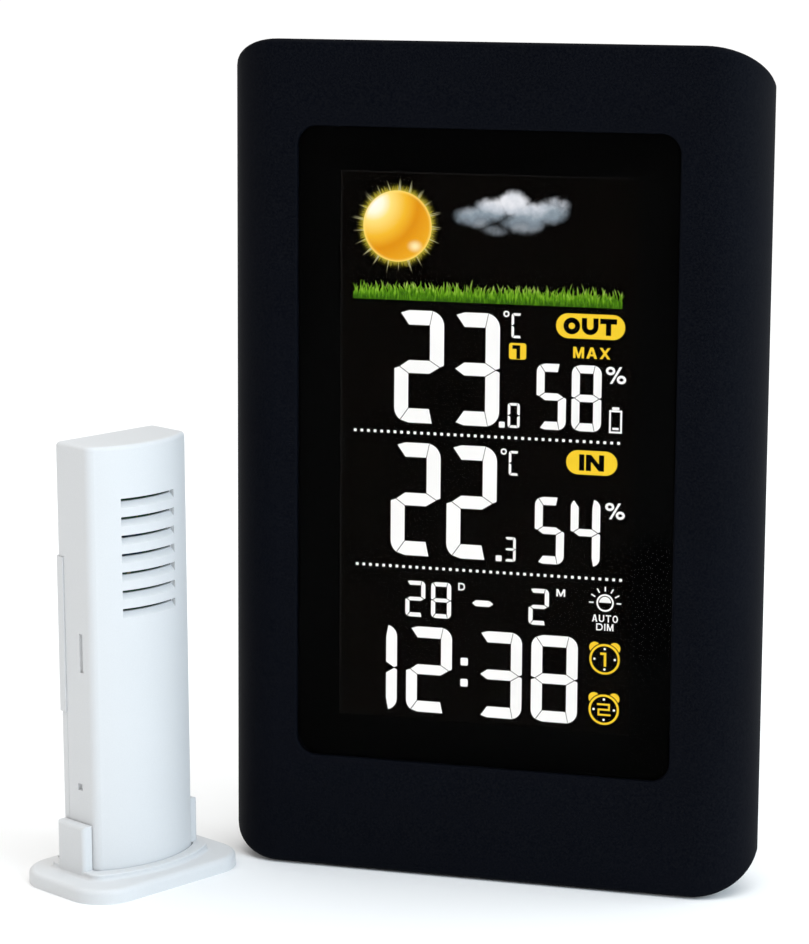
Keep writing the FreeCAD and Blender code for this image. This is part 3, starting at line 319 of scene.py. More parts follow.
def sun_glow():
    """The haze that fades outwards from the sun's edge."""
    s = lit_shader("sun_glow")
    x, z = screen_place(s)
    fade = s.off(x, z, SUN_AT, SUN_R)
    s.set("emission color", s.ramp(s.remap(fade, 1.0, SUN_HALO), [
        (0.0, (0.36, 0.28, 0.020)), (0.3, (0.10, 0.085, 0.008)), (0.7, (0.012, 0.011, 0.001)),
        (1.0, (0.0, 0.0, 0.0)),
    ]))
    return s.material


# Place from the cloud's middle, half width and height over width of each puff, and how solid it is.
CLOUD_PUFFS = [
    (-8.6, -0.6, 6.6, 0.50, 0.95), (-4.4, 1.2, 6.2, 0.62, 1.0), (0.2, 2.4, 5.4, 0.78, 1.15),
    (3.4, 0.2, 6.6, 0.62, 1.1), (8.2, 0.9, 6.2, 0.62, 0.95), (9.6, 2.6, 5.2, 0.55, 0.62),
    (-3.4, -3.4, 5.6, 0.40, 0.42), (2.6, -1.6, 7.6, 0.46, 0.95),
]


def cloud_face():
    """Soft puffs of grey-white light: bright on top, blue-grey underneath, and ragged at the edge."""
    s = lit_shader("cloud_face")
    x, z = screen_place(s)
    ragged = s.noise(0.34, 5.0, 0.62)
    lumps = s.noise(0.16, 4.0, 0.55)
    shape = 0.0
    for px, pz, size, squash, solid in CLOUD_PUFFS:
        off = s.off(x, z, (CLOUD_AT[0] + px, CLOUD_AT[1] + pz), size, squash)
        shape = s.math("MAXIMUM", shape, s.remap(off, 0.12, 1.08, solid, 0.0, smooth=True))
    edge = s.math("MULTIPLY", s.remap(ragged, 0.3, 0.7, -0.20, 0.14), s.remap(shape, 0.0, 0.3))
    cover = s.remap(s.math("ADD", shape, edge), 0.12, 0.85, smooth=True)
    hump = s.off(x, z, (CLOUD_AT[0] - 1.0, CLOUD_AT[1] + 1.9), 13.0, 0.42)
    height = s.remap(s.math("SUBTRACT", z, CLOUD_AT[1]), -5.0, 4.6)
    shade = s.math("ADD", height, s.remap(lumps, 0.32, 0.68, -0.24, 0.24))
    shade = s.math("ADD", shade, s.remap(hump, 0.0, 1.0, 0.16, -0.12))
    colour = s.ramp(shade, [
        (0.0, (0.26, 0.29, 0.32)), (0.20, (0.19, 0.23, 0.27)), (0.42, (0.27, 0.33, 0.38)),
        (0.68, (0.55, 0.59, 0.65)), (1.0, (0.84, 0.85, 0.89)),
    ])
    s.set("emission color", s.blend(cover, (0.0, 0.0, 0.0), colour))
    return s.material


def grass_face(name, dim):
    """Blades that are dark at the root and bright towards the tip, each a little different."""
    s = lit_shader(name, dim)
    x, z = screen_place(s)
    up = s.remap(s.math("SUBTRACT", z, GRASS_Z), 0.0, 4.8)
    drawn_out = s.node("ShaderNodeCombineXYZ", {0: x, 1: s.math("MULTIPLY", z, 0.25)}).outputs[0]
    stripes = s.noise(2.2, 3.0, 0.5, drawn_out)
    shade = s.math("ADD", up, s.remap(stripes, 0.32, 0.68, -0.34, 0.34))
    s.set("emission color", s.ramp(shade, [
        (0.0, (0.030, 0.110, 0.004)), (0.35, (0.085, 0.250, 0.007)), (0.65, (0.200, 0.440, 0.022)),
        (1.0, (0.55, 0.74, 0.16)),
    ]))
    return s.material


SOFT_BLACK = moulded("soft_black", (0.0022, 0.0028, 0.0050), 0.62, specular=0.035, grain=0.42, depth=0.12,
                     drift=0.10, flecks=0.55)
KEY_BLACK = moulded("key_black", (0.0042, 0.0050, 0.0078), 0.46, specular=0.14, grain=0.22, drift=0.15)
PRINT_BLACK = moulded("print_black", (0.0007, 0.0007, 0.0007), 0.5, specular=0.006, grain=0.4, depth=0.004)
PRINT_GREY = moulded("print_grey", (0.42, 0.43, 0.45), 0.55, specular=0.3, grain=0.2, depth=0.004, drift=0.06)
SENSOR_WHITE = moulded("sensor_white", (0.715, 0.722, 0.728), 0.45, specular=0.22, grain=0.28, depth=0.012,
                       drift=0.015)
RUBBER = moulded("foot_rubber", (0.018, 0.018, 0.020), 0.82, specular=0.25, grain=0.5, depth=0.06)
GREY_RUBBER = moulded("grey_rubber", (0.16, 0.16, 0.18), 0.75, specular=0.25, grain=0.3)
CHIP_BLACK = moulded("chip_black", (0.012, 0.012, 0.014), 0.52, grain=0.15)
SATIN_BLACK = moulded("satin_black", (0.010, 0.010, 0.011), 0.34, grain=0.4)
WHITE_TRAY = moulded("white_tray", (0.80, 0.80, 0.78), 0.4, grain=0.4, drift=0.02)
LIGHT_GUIDE = moulded("light_guide", (0.74, 0.77, 0.80), 0.12, grain=0.8, drift=0.02, coat=0.4)
LAMP_WHITE = moulded("lamp_white", (0.85, 0.80, 0.48), 0.3, grain=0.3, drift=0.08, coat=0.3)
SWITCH_WHITE = moulded("switch_white", (0.78, 0.78, 0.74), 0.35, grain=0.2, drift=0.03)
EYE_CLEAR = moulded("sensor_eye", (0.55, 0.60, 0.70), 0.08, grain=0.8, drift=0.04, coat=0.8)
FERRITE = moulded("ferrite", (0.030, 0.030, 0.033), 0.6, specular=0.6, grain=0.12, depth=0.03, drift=0.3)
COPPER = metal("copper_wire", (0.72, 0.29, 0.12), 0.28, (6.0, 0.4, 0.4))
NICKEL = metal("nickel", (0.70, 0.69, 0.66), 0.24, (0.4, 0.4, 5.0))
SCREW_STEEL = metal("screw_steel", (0.36, 0.36, 0.38), 0.33)
BOARD_GREEN = board_face("board_green", (0.006, 0.085, 0.030))
MODULE_BLUE = board_face("module_blue", (0.006, 0.045, 0.105))


def cell_span(node, way):
    """Half the length of a set of cells, and its middle, in millimetres along a direction."""
    low, high = extent(node, way)
    return (high - low) / 2 / MM, (high + low) / 2 / MM


FINISHES = {
    "soft_black": SOFT_BLACK,
    "key_black": KEY_BLACK,
    "clear_lens": clear_window(),
    "print_black": PRINT_BLACK,
    "lcd_glass": screen_glass(),
    "light_guide": LIGHT_GUIDE,
    "white_tray": WHITE_TRAY,
    "lamp_white": LAMP_WHITE,
    "grey_rubber": GREY_RUBBER,
    "board_green": BOARD_GREEN,
    "chip_black": CHIP_BLACK,
    "module_green": MODULE_BLUE,
    "wire": COPPER,
    "ferrite": FERRITE,
    "buzzer_black": SATIN_BLACK,
    "sensor_eye": EYE_CLEAR,
    "jack_black": SATIN_BLACK,
    "nickel": NICKEL,
    "screw_steel": SCREW_STEEL,
    "foot_rubber": RUBBER,
    "sensor_white": SENSOR_WHITE,
    "switch_white": SWITCH_WHITE,
}
CELLS = {"battery_cells": RIGHT, "sensor_cells": Vector((0, 0, 1))}


def finish_nodes():
    """Gives every CAD node the material of its slot. The two sets of cells each get a jacket of their own."""
    for part in frame["record"]["subparts"]:
        node, slot = part["node"], part["material_slot"]
        if node in CELLS:
            half, mid = cell_span(node, CELLS[node])
            material = cell_jacket(node + "_jacket", CELLS[node], half, mid)
        else:
            material = FINISHES[slot]
        mesh = frame["nodes"][node].data
        mesh.materials.clear()
        mesh.materials.append(material)


# ---- flat artwork ----
def on_screen(x, z, depth):
    """A point of the window, x and z in millimetres from its middle, depth in metres along BACK."""
    return RIGHT * (x * MM) + UP * (z * MM + WINDOW_MID) + BACK * depth


def arc(x, z, r, start, end, steps=8):
    """Points round part of a circle. Angles are in degrees, from the right and counter-clockwise."""
    turn = [math.radians(start + (end - start) * i / steps) for i in range(steps + 1)]
    return [(x + r * math.cos(a), z + r * math.sin(a)) for a in turn]


def rounded(x0, z0, x1, z1, r):
    """A rectangle with round corners."""
    return (arc(x1 - r, z1 - r, r, 0, 90) + arc(x0 + r, z1 - r, r, 90, 180)
            + arc(x0 + r, z0 + r, r, 180, 270) + arc(x1 - r, z0 + r, r, 270, 360))


def shrunk(points, inset):
    """A counter-clockwise outline moved inwards by inset."""
    clean = [p for p, q in zip(points, points[1:] + points[:1]) if math.dist(p, q) > 1e-5]
    moved = []
    for before, here, after in zip(clean[-1:] + clean[:-1], clean, clean[1:] + clean[:1]):
        a = Vector((here[0] - before[0], here[1] - before[1])).normalized()
        b = Vector((after[0] - here[0], after[1] - here[1])).normalized()
        mid = Vector((-a.y - b.y, a.x + b.x))
        reach = inset * 2 / max(mid.length_squared, 0.35)
        moved.append((here[0] + mid.x * reach, here[1] + mid.y * reach))
    return moved


def area(points):
    return sum(p[0] * q[1] - q[0] * p[1] for p, q in zip(points, points[1:] + points[:1])) / 2


def stroke(points, width):
    """The outline of a line of even width through points, with square ends and mitred corners."""
    left, right = [], []
    for i, here in enumerate(points):
        into = Vector(here) - Vector(points[i - 1]) if i else Vector(points[1]) - Vector(here)
        out = Vector(points[i + 1]) - Vector(here) if i < len(points) - 1 else into
        into, out = into.normalized(), out.normalized()
        side = Vector((-into.y - out.y, into.x + out.x))
        side = side * (width / max(side.length_squared, 0.5))
        ahead = Vector((0, 0))
        if i == 0:
            ahead = -out * width / 2
        elif i == len(points) - 1:
            ahead = into * width / 2
        left.append(tuple(Vector(here) + side + ahead))
        right.append(tuple(Vector(here) - side + ahead))
    outline = left + right[::-1]
    return outline if area(outline) > 0 else outline[::-1]


class Art:
    """Flat shapes of one thickness, gathered into one piece."""

    def __init__(self, depth, thickness=ART_T, to_row=on_screen):
        self.mesh = bmesh.new()
        self.near = depth - thickness * MM
        self.far = depth
        self.to_row = to_row

    def ring_of(self, points, depth):
        return [self.mesh.verts.new(self.to_row(x, z, depth)) for x, z in points]

    def shape(self, points):
        """A solid plate with this outline."""
        if area(points) < 0:
            points = points[::-1]
        near, far = self.ring_of(points, self.near), self.ring_of(points, self.far)
        self.mesh.faces.new(near)
        self.mesh.faces.new(far[::-1])
        self.wall(near, far)

    def wall(self, near, far):
        for i in range(len(near)):
            j = (i + 1) % len(near)
            self.mesh.faces.new((near[j], near[i], far[i], far[j]))

    def band(self, outer, inner):
        """A flat band between two counter-clockwise outlines with the same number of points."""
        near = [self.ring_of(rim, self.near) for rim in (outer, inner)]
        far = [self.ring_of(rim, self.far) for rim in (outer, inner)]
        for i in range(len(outer)):
            j = (i + 1) % len(outer)
            self.mesh.faces.new((near[0][i], near[0][j], near[1][j], near[1][i]))
            self.mesh.faces.new((far[0][j], far[0][i], far[1][i], far[1][j]))
        self.wall(near[0], far[0])
        self.wall(near[1][::-1], far[1][::-1])

    def ring(self, x, z, outer, inner, steps=40):
        self.band(*[arc(x, z, r, 0, 360, steps)[:-1] for r in (outer, inner)])

    def disc(self, x, z, r, steps=24):
        self.shape(arc(x, z, r, 0, 360, steps)[:-1])

    def make(self, name, material, slot, body=DISPLAY):
        """Turns the shapes into a piece that rides on body."""
        bmesh.ops.remove_doubles(self.mesh, verts=self.mesh.verts, dist=1e-8)
        bmesh.ops.recalc_face_normals(self.mesh, faces=self.mesh.faces)
        data = bpy.data.meshes.new(name)
        self.mesh.to_mesh(data)
        self.mesh.free()
        data.materials.append(material)
        piece = bpy.data.objects.new(name, data)
        bpy.context.scene.collection.objects.link(piece)
        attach(piece, body)


def layer(number):
    """Depth of a layer of artwork: the first lies nearest the screen's glass."""
    return SCREEN_FRONT - (ART_GAP + number * LAYER) * MM


# ---- plain capitals ----
def oval(w, h, inset):
    """An upright oval, w wide and h tall, moved inwards by inset."""
    return [(w / 2 + (w / 2 - inset) * math.cos(a), h / 2 + (h / 2 - inset) * math.sin(a))
            for a in (2 * math.pi * i / 36 for i in range(36))]


def letter_outlines(sign, w, h, t):
    """Outlines of a capital, w wide and h tall, with strokes t thick. A pair of outlines is a closed band."""
    mid, slant = w / 2, 1.25 * t
    if sign == "I":
        return [[(0, 0), (t, 0), (t, h), (0, h)]]
    if sign == "T":
        left, right = mid - t / 2, mid + t / 2
        low = h - t
        return [[(left, 0), (right, 0), (right, low), (w, low), (w, h), (0, h), (0, low), (left, low)]]
    if sign == "N":
        drop = 1.35 * t
        rising = [(0, 0), (t, 0), (t, h - drop), (w - t, 0), (w, 0)]
        return [rising + [(w, h), (w - t, h), (w - t, drop), (t, h), (0, h)]]
    if sign == "M":
        return [[(0, 0), (t, 0), (t, h - 2 * t), (mid - t * 0.4, 0), (mid + t * 0.4, 0), (w - t, h - 2 * t),
                 (w - t, 0), (w, 0), (w, h), (w - slant, h), (mid, 1.6 * t), (slant, h), (0, h)]]
    if sign == "X":
        notch = h * (w - 2 * slant) / (2 * (w - slant))
        return [[(0, 0), (slant, 0), (mid, notch), (w - slant, 0), (w, 0), ((w + slant) / 2, h / 2), (w, h),
                 (w - slant, h), (mid, h - notch), (slant, h), (0, h), ((w - slant) / 2, h / 2)]]
    if sign == "A":
        low, high, peak = 0.22 * h, 0.22 * h + 0.8 * t, h - 1.4 * t
        edge = [slant + (mid - slant) * z / peak for z in (low, high)]
        half = [(0, 0), (slant, 0), (edge[0], low), (mid, low), (mid, high), (edge[1], high), (mid, peak),
                (mid, h), (mid - t * 0.6, h)]
        return [half, [(w - x, z) for x, z in half[::-1]]]
    if sign == "U":
        r = w / 2
        bowl, inside = arc(r, r, r, 180, 360, 14), arc(r, r, r - t, 360, 180, 14)
        return [[(t, h), (0, h), *bowl, (w, h), (w - t, h), *inside]]
    if sign == "O":
        return [(oval(w, h, 0), oval(w, h, t))]
    if sign == "D":
        r = min(w, h) * 0.48
        return [([(0, h), (0, 0), *arc(w - r, r, r, -90, 0, 6), *arc(w - r, h - r, r, 0, 90, 6)],
                 [(t, h - t), (t, t), *arc(w - r, r, r - t, -90, 0, 6), *arc(w - r, h - r, r - t, 0, 90, 6)])]
    rings = [[(cx + px, cz + pz) for px, pz in oval(w * 0.46, h * 0.5, inset)]
             for cx, cz in ((0, h * 0.5), (w * 0.54, 0)) for inset in (0, t)]
    bar = [(w * 0.20, 0), (w * 0.20 + t, 0), (w * 0.80, h), (w * 0.80 - t, h)]
    return [(rings[0], rings[1]), (rings[2], rings[3]), bar]


def letters(art, word, box, t, gap=0.0):
    """A word in capitals that fills a box (x0, z0, x1, z1), with strokes t thick. An I is one stroke wide."""
    x, z, x1, z1 = box
    room = x1 - x - gap * (len(word) - 1) - t * word.count("I")
    width = room / (len(word) - word.count("I"))
    for sign in word:
        w = t if sign == "I" else width
        for piece in letter_outlines(sign, w, z1 - z, t):
            rims = piece if isinstance(piece, tuple) else (piece,)
            moved = [[(x + px, z + pz) for px, pz in rim] for rim in rims]
            if len(moved) == 2:
                art.band(*moved)
            else:
                art.shape(moved[0])
        x += w + gap


# ---- seven-segment figures ----
SEGMENTS_OF = {
    "0": "abcdef", "1": "bc", "2": "abged", "3": "abgcd", "4": "fgbc", "5": "afgcd", "8": "abcdefg",
    "C": "afed",
}


def segment_outlines(w, h, t):
    """The seven segments of a figure w wide and h tall with strokes t thick, each counter-clockwise."""
    m, bulge, notch = h / 2, 0.45 * t, 0.13 * t
    lean, peak, right_lean = 0.42 * t, 0.19 * t, 0.78 * t
    tip_l, tip_r = (0.36 * t, m), (w - 0.28 * t, m)
    tl, bl = (lean, h - peak), (lean, peak)
    tr, br = (w - right_lean, h), (w - right_lean, 0)
    tli, tri, bli, bri = (t, h - t), (w - t, h - t), (t, t), (w - t, t)
    left_up, left_down = (t, m + bulge), (t, m - bulge)
    right_up, right_down = (w - t, m + bulge), (w - t, m - bulge)
    corner_b, corner_c = arc(w - t, h - t, t, 0, 77, 6), arc(w - t, t, t, -77, 0, 6)
    corner_e, corner_f = arc(t, t, t, 180, 234, 5), arc(t, h - t, t, 126, 180, 5)
    return {
        "a": [tli, tri, tr, (t, h), tl],
        "b": [tri, right_up, tip_r, (w, m + notch), *corner_b, tr],
        "c": [tip_r, right_down, bri, br, *corner_c, (w, m - notch)],
        "d": [bl, (t, 0), br, bri, bli],
        "e": [tip_l, (0, m - notch), *corner_e, bl, bli, left_down],
        "f": [tli, tl, *corner_f, (0, m + notch), tip_l, left_up],
        "g": [tip_l, left_down, right_down, tip_r, right_up, left_up],
    }


def figure(art, sign, x, z, w, h, t, gap=SEGMENT_GAP):
    """One figure with its lower left corner at (x, z)."""
    outlines = segment_outlines(w, h, t)
    for letter in SEGMENTS_OF[sign]:
        outline = outlines[letter]
        if area(outline) < 0:
            outline = outline[::-1]
        art.shape([(x + px, z + pz) for px, pz in shrunk(outline, gap / 2)])


def figures(art, signs, x, z, w, h, t, pitch):
    for i, sign in enumerate(signs):
        figure(art, sign, x + i * pitch, z, w, h, t)


def unit_mark(art, x, z):
    """A degree ring and the letter C. (x, z) is the ring's middle."""
    art.ring(x, z, 0.72, 0.36, 24)
    figure(art, "C", x + 1.15, z - 5.4, 2.75, 5.7, 0.68, UNIT_GAP)


def readings():
    """The white figures: outdoor row, indoor row, date and time."""
    white = glowing("white_light", WHITE_GLOW, 1.04)
    point = 1.35
    outdoor = Art(layer(1))
    figures(outdoor, "23", -21.6, OUT_ROW, *OUT_TENS)
    outdoor.shape(rounded(3.0, OUT_ROW, 3.0 + point, OUT_ROW + point, 0.25))
    figure(outdoor, "0", 4.95, OUT_ROW, *OUT_TENTH, SMALL_GAP)
    unit_mark(outdoor, 4.45, OUT_ROW + 25.65)
    figures(outdoor, "58", 11.5, OUT_ROW, *OUT_HUMID)
    letters(outdoor, "%", (27.35, OUT_ROW + 11.05, 31.95, OUT_ROW + 14.85), PERCENT_LINE)
    outdoor.make("reading_outdoor", white, "light_guide")

    indoor = Art(layer(1))
    figures(indoor, "22", -22.25, IN_ROW, *IN_TENS)
    indoor.shape(rounded(2.6, IN_ROW, 4.0, IN_ROW + point, 0.25))
    figure(indoor, "3", 4.45, IN_ROW, *IN_TENTH, SMALL_GAP)
    unit_mark(indoor, 4.2, IN_ROW + 25.1)
    figures(indoor, "54", 11.5, IN_ROW, *IN_HUMID)
    letters(indoor, "%", (27.7, IN_ROW + 11.1, 32.2, IN_ROW + 14.8), PERCENT_LINE)
    indoor.make("reading_indoor", white, "light_guide")

    date = Art(layer(1))
    figures(date, "28", -18.65, DATE_ROW, *DATE_DAY)
    letters(date, "D", (-6.1, DATE_ROW + 6.85, -4.5, DATE_ROW + 8.6), SMALL_LINE)
    dash_mid, dash_half = DATE_ROW + 4.15, 0.7
    low, high = dash_mid - dash_half, dash_mid + dash_half
    date.shape([(-2.8, dash_mid), (-1.9, low), (1.2, low), (2.15, dash_mid), (1.2, high), (-1.9, high)])
    figure(date, "2", 10.3, DATE_ROW, *DATE_DAY[:3])
    letters(date, "M", (16.8, DATE_ROW + 6.95, 18.85, DATE_ROW + 8.65), SMALL_LINE)
    date.make("reading_date", white, "light_guide")

    clock, colon_half = Art(layer(1)), 0.9
    figure(clock, "1", -31.6, TIME_ROW - 0.2, *HOUR_ONE)
    figure(clock, "2", -18.35, TIME_ROW - 0.2, *HOUR_TWO)
    for z in (-48.45, -53.35):
        clock.shape(rounded(-5.4, z - colon_half, -3.65, z + colon_half, 0.35))
    figures(clock, "38", -1.85, TIME_ROW - 0.3, *MINUTES)
    clock.make("reading_time", white, "light_guide")

    for name, z, x0, x1 in (("dots_outdoor", DOTS_OUT, -30.7, 30.5), ("dots_indoor", DOTS_IN, -30.1, 31.5)):
        dots = Art(layer(1))
        for i in range(DOTS):
            x = x0 + (x1 - x0) * i / (DOTS - 1)
            dots.shape(rounded(x - DOT_HALF, z - DOT_HALF, x + DOT_HALF, z + DOT_HALF, DOT_ROUND))
        dots.make(name, white, "light_guide")
    return white


def pill(name, word, row, box, inner, yellow):
    """A rounded yellow plate with a dark word on it. Both boxes count their heights from the row's foot."""
    x0, z0, x1, z1 = box
    plate = Art(layer(1))
    plate.shape(rounded(x0, row + z0, x1, row + z1, (z1 - z0) / 2 - 0.01))
    plate.make(name, yellow, "light_guide")
    x0, z0, x1, z1 = inner
    mark = Art(layer(2))
    letters(mark, word, (x0, row + z0, x1, row + z1), PILL_LINE, 0.36)
    mark.make(name + "_letters", PRINT_BLACK, "print_black")


def channel_badge(yellow):
    """A small yellow plate with the sensor's channel number."""
    x, z = 5.15, OUT_ROW + 15.55
    plate = Art(layer(1))
    plate.shape(rounded(x, z, x + 3.95, z + 3.65, 0.55))
    plate.make("badge_channel", yellow, "light_guide")
    mark = Art(layer(2))
    mark.shape(stroke([(x + 1.2, z + 2.75), (x + 2.15, z + 2.75), (x + 2.15, z + 0.55)], 0.85))
    mark.make("badge_channel_figure", PRINT_BLACK, "print_black")


def battery_mark(white):
    """An upright cell that is nearly empty."""
    x0, x1, z = 28.25, 31.2, OUT_ROW
    art, line = Art(layer(1)), 0.42
    low, high = z + line / 2, z + 4.95
    left, right = x0 + line / 2, x1 - line / 2
    art.shape(stroke([(left, low), (left, high)], line))
    art.shape(stroke([(right, low), (right, high)], line))
    art.shape(stroke([(left + line, low), (right - line, low)], line - 0.001))
    art.shape(stroke([(left + line, high), (right - line, high)], line - 0.001))
    art.shape(rounded(x0 + 0.65, z + 5.2, x1 - 0.65, z + 5.85, 0.15))
    art.shape(rounded(x0 + 0.75, z + 0.75, x1 - 0.75, z + 1.25, 0.1))
    art.make("mark_low_battery", white, "light_guide")


def dimmer_mark(white):
    """A lamp with seven rays and its upper half lit, over two short words."""
    x, z = ICON_X - 0.05, DIMMER_Z
    art = Art(layer(1))
    art.ring(x, z, 2.0, 1.62)
    art.shape(arc(x, z + 0.05, 1.36, 0, 180, 18))
    for i in range(7):
        a = math.radians(30 * i)
        ray = [(x + r * math.cos(a), z + r * math.sin(a)) for r in (2.78, 3.55)]
        art.shape(stroke(ray, 0.3))
    letters(art, "AUTO", (x - 2.95, z - 4.4, x + 3.0, z - 2.75), FINE_LINE, 0.34)
    letters(art, "DIM", (x - 1.95, z - 6.35, x + 2.0, z - 4.75), FINE_LINE, 0.34)
    art.make("mark_auto_dimmer", white, "light_guide")


def alarm_mark(number, z, yellow, white):
    """A bell alarm clock with its number, and four hour dots."""
    x, far, dot_r = ICON_X + 0.05, 1.2, 2.35
    art = Art(layer(1))
    art.ring(x, z, 3.5, 3.02, 48)
    for side in (-1, 1):
        middle = 90 - side * 41
        outer = arc(x + side * 2.3, z + 2.62, 1.28, middle - 88, middle + 88, 14)
        seat = arc(x, z, 3.72, middle + 20, middle - 20, 8)
        art.shape(outer + seat)
    marks = {
        1: [(x - 0.75, z + 1.25), (x + 0.1, z + 1.25), (x + 0.1, z - 1.4)],
        2: [(x - 1.35, z + far), (x + far, z + far), (x + far, z), (x - far, z), (x - far, z - far),
            (x + 1.35, z - far)],
    }
    art.shape(stroke(marks[number], 0.55 if number == 1 else 0.42))
    art.make(f"mark_alarm_{number}", yellow, "light_guide")
    dots = Art(layer(1))
    for quarter in range(4):
        a = math.radians(90 * quarter)
        dots.disc(x + dot_r * math.cos(a), z + dot_r * math.sin(a), 0.28, 14)
    dots.make(f"mark_alarm_{number}_dots", white, "light_guide")


def marks(white):
    """The yellow words, the badge and the small icons."""
    yellow = glowing("yellow_light", YELLOW_GLOW, 1.05)
    pill("pill_outdoor", "OUT", OUT_ROW, (15.85, 20.8, 31.55, 26.35), (17.55, 21.7, 29.7, 25.45), yellow)
    pill("pill_indoor", "IN", IN_ROW, (18.6, 20.85, 30.3, 26.3), (21.6, 21.75, 27.3, 25.4), yellow)
    label = Art(layer(1))
    letters(label, "MAX", (19.85, OUT_ROW + 16.45, 28.3, OUT_ROW + 18.95), LABEL_LINE, 0.55)
    label.make("label_maximum", yellow, "light_guide")
    channel_badge(yellow)
    battery_mark(white)
    dimmer_mark(white)
    alarm_mark(1, ALARM_ONE_Z, yellow, white)
    alarm_mark(2, ALARM_TWO_Z, yellow, white)


# ---- the picture at the top of the screen ----
def sun_ray(angle, length, half_width):
    """A thin bent spike that leaves the sun's edge at that angle."""
    foot, tip, sway = SUN_R * 0.985, SUN_R + length, random.uniform(-0.03, 0.03)
    side = half_width / foot
    return [(SUN_AT[0] + r * math.cos(a), SUN_AT[1] + r * math.sin(a))
            for r, a in ((foot, angle - side), (tip, angle + sway), (foot, angle + side))]


def sun():
    """The ball over its fringe of short rays, with some long spikes, on a faint halo."""
    glow = Art(layer(0))
    glow.ring(*SUN_AT, SUN_R * SUN_HALO, SUN_R * 0.9, 96)
    glow.make("sun_halo", sun_glow(), "light_guide")
    fringe, spikes = Art(layer(1)), Art(layer(1))
    count, spike_every = 150, 7
    for i in range(count):
        angle = 2 * math.pi * (i + random.uniform(-0.25, 0.25)) / count
        fringe.shape(sun_ray(angle, random.uniform(0.7, 1.5), random.uniform(0.09, 0.14)))
        if i % spike_every == random.randrange(2):
            spikes.shape(sun_ray(angle + math.pi / count, random.uniform(1.9, 3.0), 0.11))
    fringe.make("sun_fringe", glowing("fringe_light", (0.62, 0.52, 0.05), 0.8), "light_guide")
    spikes.make("sun_spikes", glowing("spike_light", (0.72, 0.68, 0.38), 0.75), "light_guide")
    ball = Art(layer(2))
    ball.disc(*SUN_AT, SUN_R, 96)
    ball.make("sun_ball", sun_face(), "light_guide")


def cloud():
    """A plate a little larger than the puffs: its light fades out before its edge."""
    art = Art(layer(1))
    art.shape([(CLOUD_AT[0] + 15.6 * math.cos(a), CLOUD_AT[1] + 0.2 + 8.0 * math.sin(a))
               for a in (math.radians(5 * i) for i in range(72))])
    art.make("cloud", cloud_face(), "light_guide")


def grass():
    """Two rows of bent blades on a strip of turf."""
    turf, root, steps = GRASS_Z + 1.6, 1.2, 4
    rows = (("grass_back", 1, 190, 4.6, 0.72), ("grass_front", 2, 210, 3.7, 0.95))
    for name, number, count, tall, dim in rows:
        art = Art(layer(number))
        art.shape([(GRASS_X0, GRASS_Z), (GRASS_X1, GRASS_Z), (GRASS_X1, turf), (GRASS_X0, turf)])
        for i in range(count):
            x = GRASS_X0 + 0.25 + (GRASS_X1 - GRASS_X0 - 0.5) * (i + random.random()) / count
            height = tall * random.uniform(0.55, 1.0) + (random.random() < 0.08) * 0.8
            bend, wide = random.uniform(-1.0, 1.1), random.uniform(0.16, 0.30)
            left, right = [], []
            for k in range(steps):
                up = k / steps
                half = wide * (1 - up * 0.72)
                middle = x + bend * up * up
                z = GRASS_Z + root + (height - root) * up
                left.append((middle - half, z))
                right.append((middle + half, z))
            art.shape(right + [(x + bend, GRASS_Z + height)] + left[::-1])
        art.make(name, grass_face(name + "_light", dim), "light_guide")


def screen_rim():
    """The pale edge of the polariser, which just shows along the printed mask."""
    art, line = Art(layer(0)), 0.28
    grey = glowing("rim_light", (0.0060, 0.0058, 0.0056), 1.0)
    x0, x1 = -SCREEN_HALF_W, SCREEN_HALF_W
    z0, z1 = SCREEN_MID - SCREEN_HALF_H, SCREEN_MID + SCREEN_HALF_H
    art.shape([(x0, z0), (x0 + line, z0), (x0 + line, z1), (x0, z1)])
    art.shape([(x0 + line, z1 - line), (x1, z1 - line), (x1, z1), (x0 + line, z1)])
    art.make("polariser_edge", grey, "lcd_glass")


# ---- printed marks on the back ----
def on_back(x, z, depth):
    """A point of the rear face, x and z in millimetres in the display unit's own frame."""
    return RIGHT * (x * MM) + UP * (z * MM) + BACK * depth


def key_marks():
    """A plain pictogram under each rear key, in the order of the keys."""
    art = Art(REAR_FACE + 0.06 * MM, 0.08, on_back)
    names = ["mode_key", "alarm_key", "plus_key", "minus_key", "channel_key", "memory_key"]
    drop, line = 6.6, 0.45
    for name in names:
        low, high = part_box(name)
        x = (low.x + high.x) / 2 / MM
        z = sum(extent(name, UP)) / 2 / MM - drop
        if name == "mode_key":
            art.ring(x, z, 1.6, 1.15, 28)
            art.shape(stroke([(x, z + 0.9), (x, z), (x - 0.7, z)], 0.35))
        elif name == "alarm_key":
            art.shape([(x - 1.3, z - 0.9), (x + 1.3, z - 0.9), *arc(x, z + 0.3, 1.0, 0, 180, 10)])
            art.disc(x, z - 1.4, 0.35, 12)
        elif name in ("plus_key", "minus_key"):
            art.shape(stroke([(x - 1.3, z), (x + 1.3, z)], line))
            if name == "plus_key":
                for side in (-1, 1):
                    art.shape(stroke([(x, z + side * 0.47), (x, z + side * 1.2)], line))
        elif name == "channel_key":
            foot = z - 0.8
            for r in (0.9, 1.6):
                art.shape(arc(x, foot, r + 0.2, 40, 140, 12) + arc(x, foot, r - 0.2, 140, 40, 12))
            art.disc(x, foot, 0.35, 12)
        else:
            art.shape([(x - 1.4, z - 1.1), (x - 0.3, z - 1.1), (x - 0.85, z + 1.1)])
            art.shape([(x + 0.3, z + 1.1), (x + 1.4, z + 1.1), (x + 0.85, z - 1.1)])
    art.make("rear_key_marks", PRINT_GREY, "key_black")


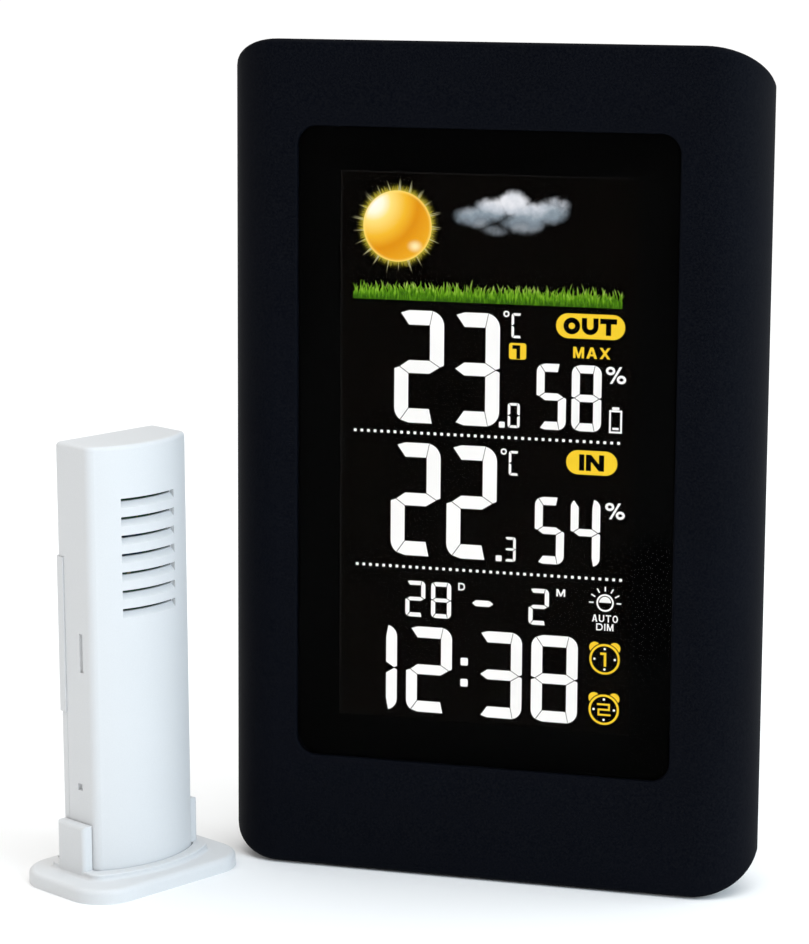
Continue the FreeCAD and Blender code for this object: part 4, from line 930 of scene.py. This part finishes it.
# ---- light, floor and camera ----
def stage():
    """A wide pale floor, an even bright sky and large soft lamps."""
    bpy.ops.mesh.primitive_plane_add(size=40)
    floor = bpy.context.object
    floor.name = "floor"
    s = Shader("floor", roughness=0.9, specular_ior_level=0.0)
    patchy = s.remap(s.noise(0.002, 2.0), 0.3, 0.7)
    s.set("base color", s.blend(patchy, (0.955, 0.955, 0.955), (0.97, 0.97, 0.97)))
    floor.data.materials.append(s.material)

    world = bpy.data.worlds.new("sky")
    bpy.context.scene.world = world
    world.use_nodes = True
    sky = world.node_tree.nodes["Background"].inputs
    sky["Color"].default_value = (1.0, 0.992, 0.972, 1.0)
    sky["Strength"].default_value = 0.46

    overhead = bpy.data.lights.new("overhead", "SUN")
    overhead.energy, overhead.angle = 1.95, math.radians(80)
    holder = bpy.data.objects.new("overhead", overhead)
    bpy.context.scene.collection.objects.link(holder)
    lamp("key", (1.05, -0.55, 0.62), 0.7, 8.8, (0.66, 0.84, 1.0))
    lamp("side", (0.85, 0.32, 0.35), 0.6, 3.3, (0.88, 0.97, 1.0))


def lamp(name, at, size, power, colour):
    """A square soft lamp that faces the middle of the object."""
    light = bpy.data.lights.new(name, "AREA")
    light.size, light.energy, light.color = size, power, colour
    holder = bpy.data.objects.new(name, light)
    bpy.context.scene.collection.objects.link(holder)
    middle = (cad_box[0] + cad_box[1]) / 2
    holder.location = at
    holder.rotation_euler = (middle - holder.location).to_track_quat("-Z", "Y").to_euler()


def camera():
    """Seen from a little to the right and above, with a long lens."""
    turn, pitch, roll = math.radians(16.60), math.radians(11.43), -0.0035
    target, distance = Vector((-17.2, -6.0, 94.5)) * MM, 736.9 * MM
    away = Vector((math.sin(turn) * math.cos(pitch), -math.cos(turn) * math.cos(pitch), math.sin(pitch)))
    data = bpy.data.cameras.new("camera")
    data.lens, data.sensor_width = 125.16, 36.0
    data.clip_start, data.clip_end = 0.01, 100
    holder = bpy.data.objects.new("camera", data)
    bpy.context.scene.collection.objects.link(holder)
    look = (-away).to_track_quat("-Z", "Y").to_matrix().to_4x4()
    holder.matrix_world = Matrix.Translation(target + away * distance) @ look @ Matrix.Rotation(roll, 4, "Z")
    bpy.context.scene.camera = holder


camera()
stage()
finish_nodes()
white_light = readings()
marks(white_light)
sun()
cloud()
grass()
screen_rim()
key_marks()
bpy.context.scene.view_settings.view_transform = "Standard"
